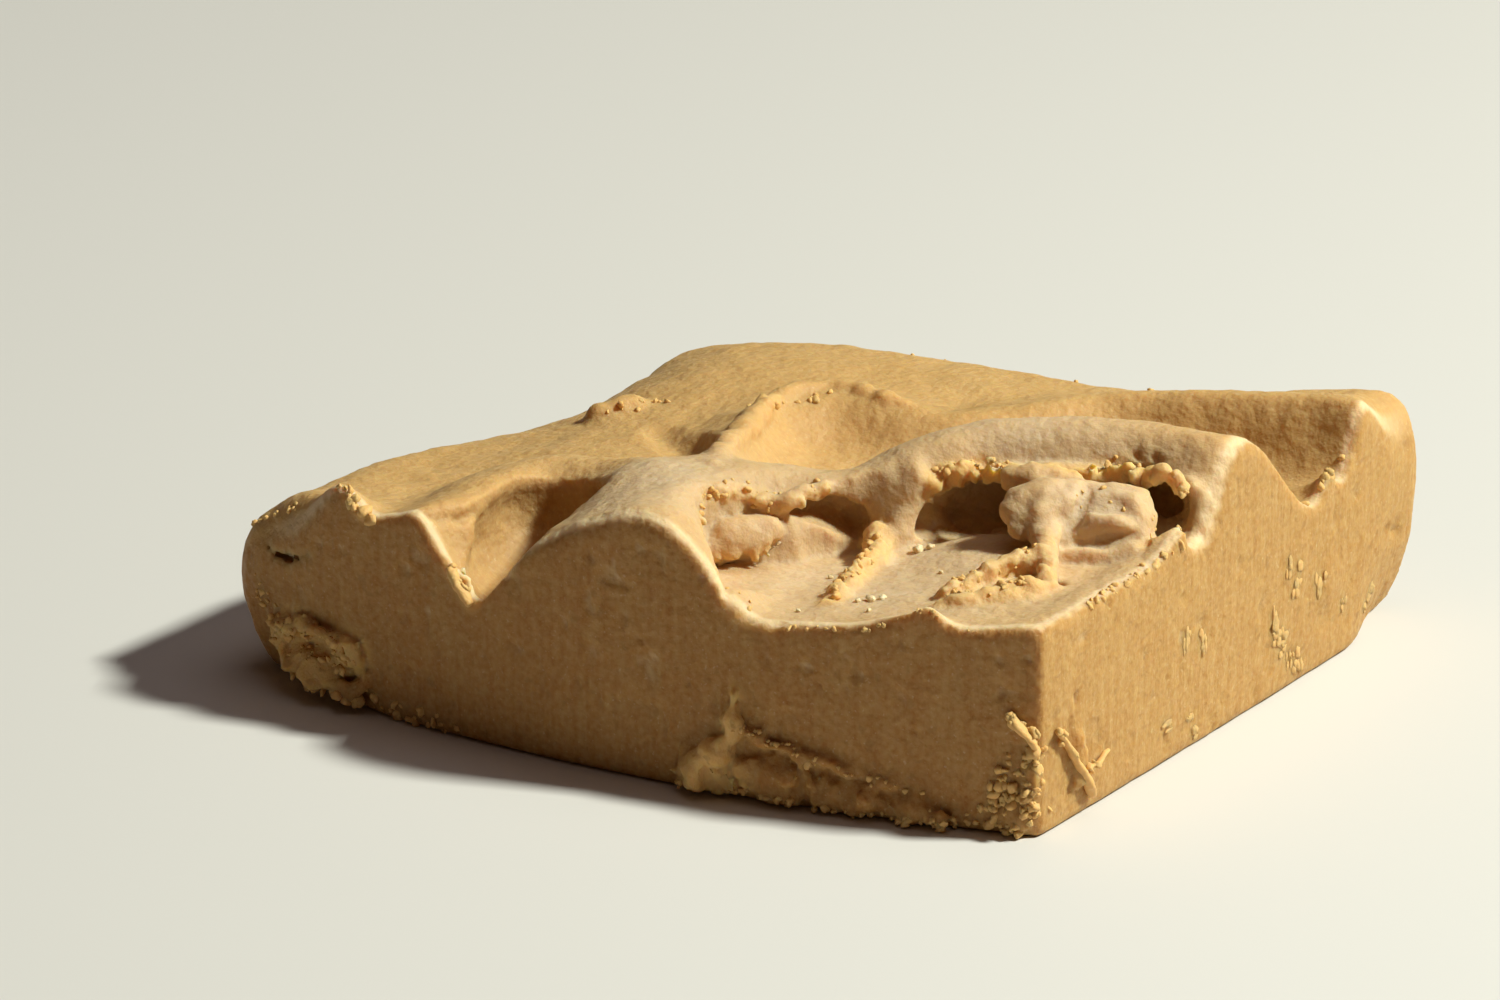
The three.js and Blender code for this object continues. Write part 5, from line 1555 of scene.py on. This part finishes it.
class FUDGE_OT_smears(bpy.types.Operator):
    """Lay the smears that stand out of the right cut face"""

    bl_idname = "fudge.smears"
    bl_label = "Smears"

    def execute(self, context):
        material = crumb_material(context.scene.fudge_colours)
        finish_detail(smear_heap().mesh_object("penuche_smears"), material, SMEAR_TORN)
        return {"FINISHED"}


class FUDGE_OT_shavings(bpy.types.Operator):
    """Hang the shavings and flakes on the cut faces"""

    bl_idname = "fudge.shavings"
    bl_label = "Shavings"

    def execute(self, context):
        material = crumb_material(context.scene.fudge_colours)
        finish_detail(shaving_heap().mesh_object("penuche_shavings"), material, CRUMB_TORN)
        return {"FINISHED"}


class FUDGE_OT_sugar(bpy.types.Operator):
    """Drop the pale sugary crumbs on the floor of the main scoop"""

    bl_idname = "fudge.sugar"
    bl_label = "Sugar crumbs"

    def execute(self, context):
        material = sugar_material(context.scene.fudge_colours)
        finish_detail(sugar_heap().mesh_object("penuche_sugar"), material, SUGAR_TORN)
        return {"FINISHED"}


class FUDGE_OT_stage(bpy.types.Operator):
    """Make the pale floor, the soft studio lights and the camera"""

    bl_idname = "fudge.stage"
    bl_label = "Stage, lights and camera"

    def execute(self, context):
        make_floor(context.scene.fudge_colours.floor)
        make_lights()
        make_camera()
        return {"FINISHED"}


def make_floor(colour):
    """A wide plain floor at the slab's base."""
    mesh = bpy.data.meshes.new("floor")
    corners = [(x * FLOOR_HALF, y * FLOOR_HALF, 0) for x, y in ((-1, -1), (1, -1), (1, 1), (-1, 1))]
    mesh.from_pydata(corners, [], [(0, 1, 2, 3)])
    floor = bpy.data.objects.new("floor", mesh)
    bpy.context.scene.collection.objects.link(floor)
    material, _, shader = new_material("floor")
    shader.inputs["Base Color"].default_value = tuple(colour) + (1.0,)
    shader.inputs["Roughness"].default_value = FLOOR_ROUGHNESS
    mesh.materials.append(material)
    floor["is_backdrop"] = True


def make_light(name, azimuth, elevation, distance, size, watts, colour):
    """A square area light that faces the slab from a direction, azimuth 0 being along +X."""
    data = bpy.data.lights.new(name, "AREA")
    data.shape = "SQUARE"
    data.size = size
    data.energy = watts
    data.color = colour
    light = bpy.data.objects.new(name, data)
    a, e = math.radians(azimuth), math.radians(elevation)
    towards = Vector((math.cos(a) * math.cos(e), math.sin(a) * math.cos(e), math.sin(e)))
    light.location = towards * distance
    light.rotation_euler = towards.to_track_quat("Z", "Y").to_euler()
    bpy.context.scene.collection.objects.link(light)


def make_lights():
    """The key and the sky light, a faint world round them, and plain colours in the picture."""
    make_light("key", *KEY_LIGHT)
    make_light("sky", *SKY_LIGHT)
    world = bpy.data.worlds.new("studio")
    world.use_nodes = True
    background = world.node_tree.nodes["Background"]
    background.inputs["Color"].default_value = WORLD_COLOUR
    background.inputs["Strength"].default_value = WORLD_STRENGTH
    bpy.context.scene.world = world
    bpy.context.scene.view_settings.view_transform = "Standard"


def make_camera():
    """A camera that puts the near corner's foot on its pixel of the frame."""
    a, e, roll = (math.radians(v) for v in (VIEW_AZIMUTH, VIEW_ELEVATION, VIEW_ROLL))
    back = Vector((math.sin(a) * math.cos(e), -math.cos(a) * math.cos(e), math.sin(e)))
    level = Vector((math.cos(a), math.sin(a), 0))
    upright = back.cross(level)
    right = level * math.cos(roll) - upright * math.sin(roll)
    up = level * math.sin(roll) + upright * math.cos(roll)
    focal = VIEW_LENS / SENSOR_WIDTH * FRAME_WIDTH
    across = (NEAR_FOOT_PIXEL[0] - FRAME_WIDTH / 2) / focal * VIEW_DISTANCE
    above = (FRAME_HEIGHT / 2 - NEAR_FOOT_PIXEL[1]) / focal * VIEW_DISTANCE
    foot = Vector((NEAR_FOOT[0] - MIDDLE[0], NEAR_FOOT[1] - MIDDLE[1], NEAR_FOOT[2]))
    place = foot - right * across - up * above + back * VIEW_DISTANCE
    data = bpy.data.cameras.new("camera")
    data.lens = VIEW_LENS
    data.sensor_width = SENSOR_WIDTH
    data.clip_end = VIEW_END
    camera = bpy.data.objects.new("camera", data)
    turn = Matrix((right, up, back)).transposed()
    camera.matrix_world = Matrix.Translation(place * MM) @ turn.to_4x4()
    bpy.context.scene.collection.objects.link(camera)
    bpy.context.scene.camera = camera


class FUDGE_PT_panel(bpy.types.Panel):
    bl_label = "Penuche fudge"
    bl_idname = "FUDGE_PT_panel"
    bl_space_type = "VIEW_3D"
    bl_region_type = "UI"
    bl_category = "Fudge"

    def draw(self, context):
        for name in PIECES:
            self.layout.operator(name)


PIECES = ("fudge.slab", "fudge.crumbs", "fudge.smears", "fudge.shavings", "fudge.sugar", "fudge.stage")
CLASSES = (
    FudgeSizes, FudgeColours, FUDGE_OT_slab, FUDGE_OT_crumbs, FUDGE_OT_smears, FUDGE_OT_shavings,
    FUDGE_OT_sugar, FUDGE_OT_stage, FUDGE_PT_panel,
)


def register():
    for cls in CLASSES:
        bpy.utils.register_class(cls)
    bpy.types.Scene.fudge_sizes = bpy.props.PointerProperty(type=FudgeSizes)
    bpy.types.Scene.fudge_colours = bpy.props.PointerProperty(type=FudgeColours)


def unregister():
    del bpy.types.Scene.fudge_colours
    del bpy.types.Scene.fudge_sizes
    for cls in reversed(CLASSES):
        bpy.utils.unregister_class(cls)


def write_sizes():
    boxes = {"cad": CAD_BOX, "visual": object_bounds()}
    plain = {name: [list(corner) for corner in box] for name, box in boxes.items()}


def main():
    register()
    bpy.ops.fudge.slab()
    bpy.ops.fudge.crumbs()
    bpy.ops.fudge.smears()
    bpy.ops.fudge.shavings()
    bpy.ops.fudge.sugar()
    bpy.ops.fudge.stage()
    write_sizes()


if __name__ == "__main__":
    main()
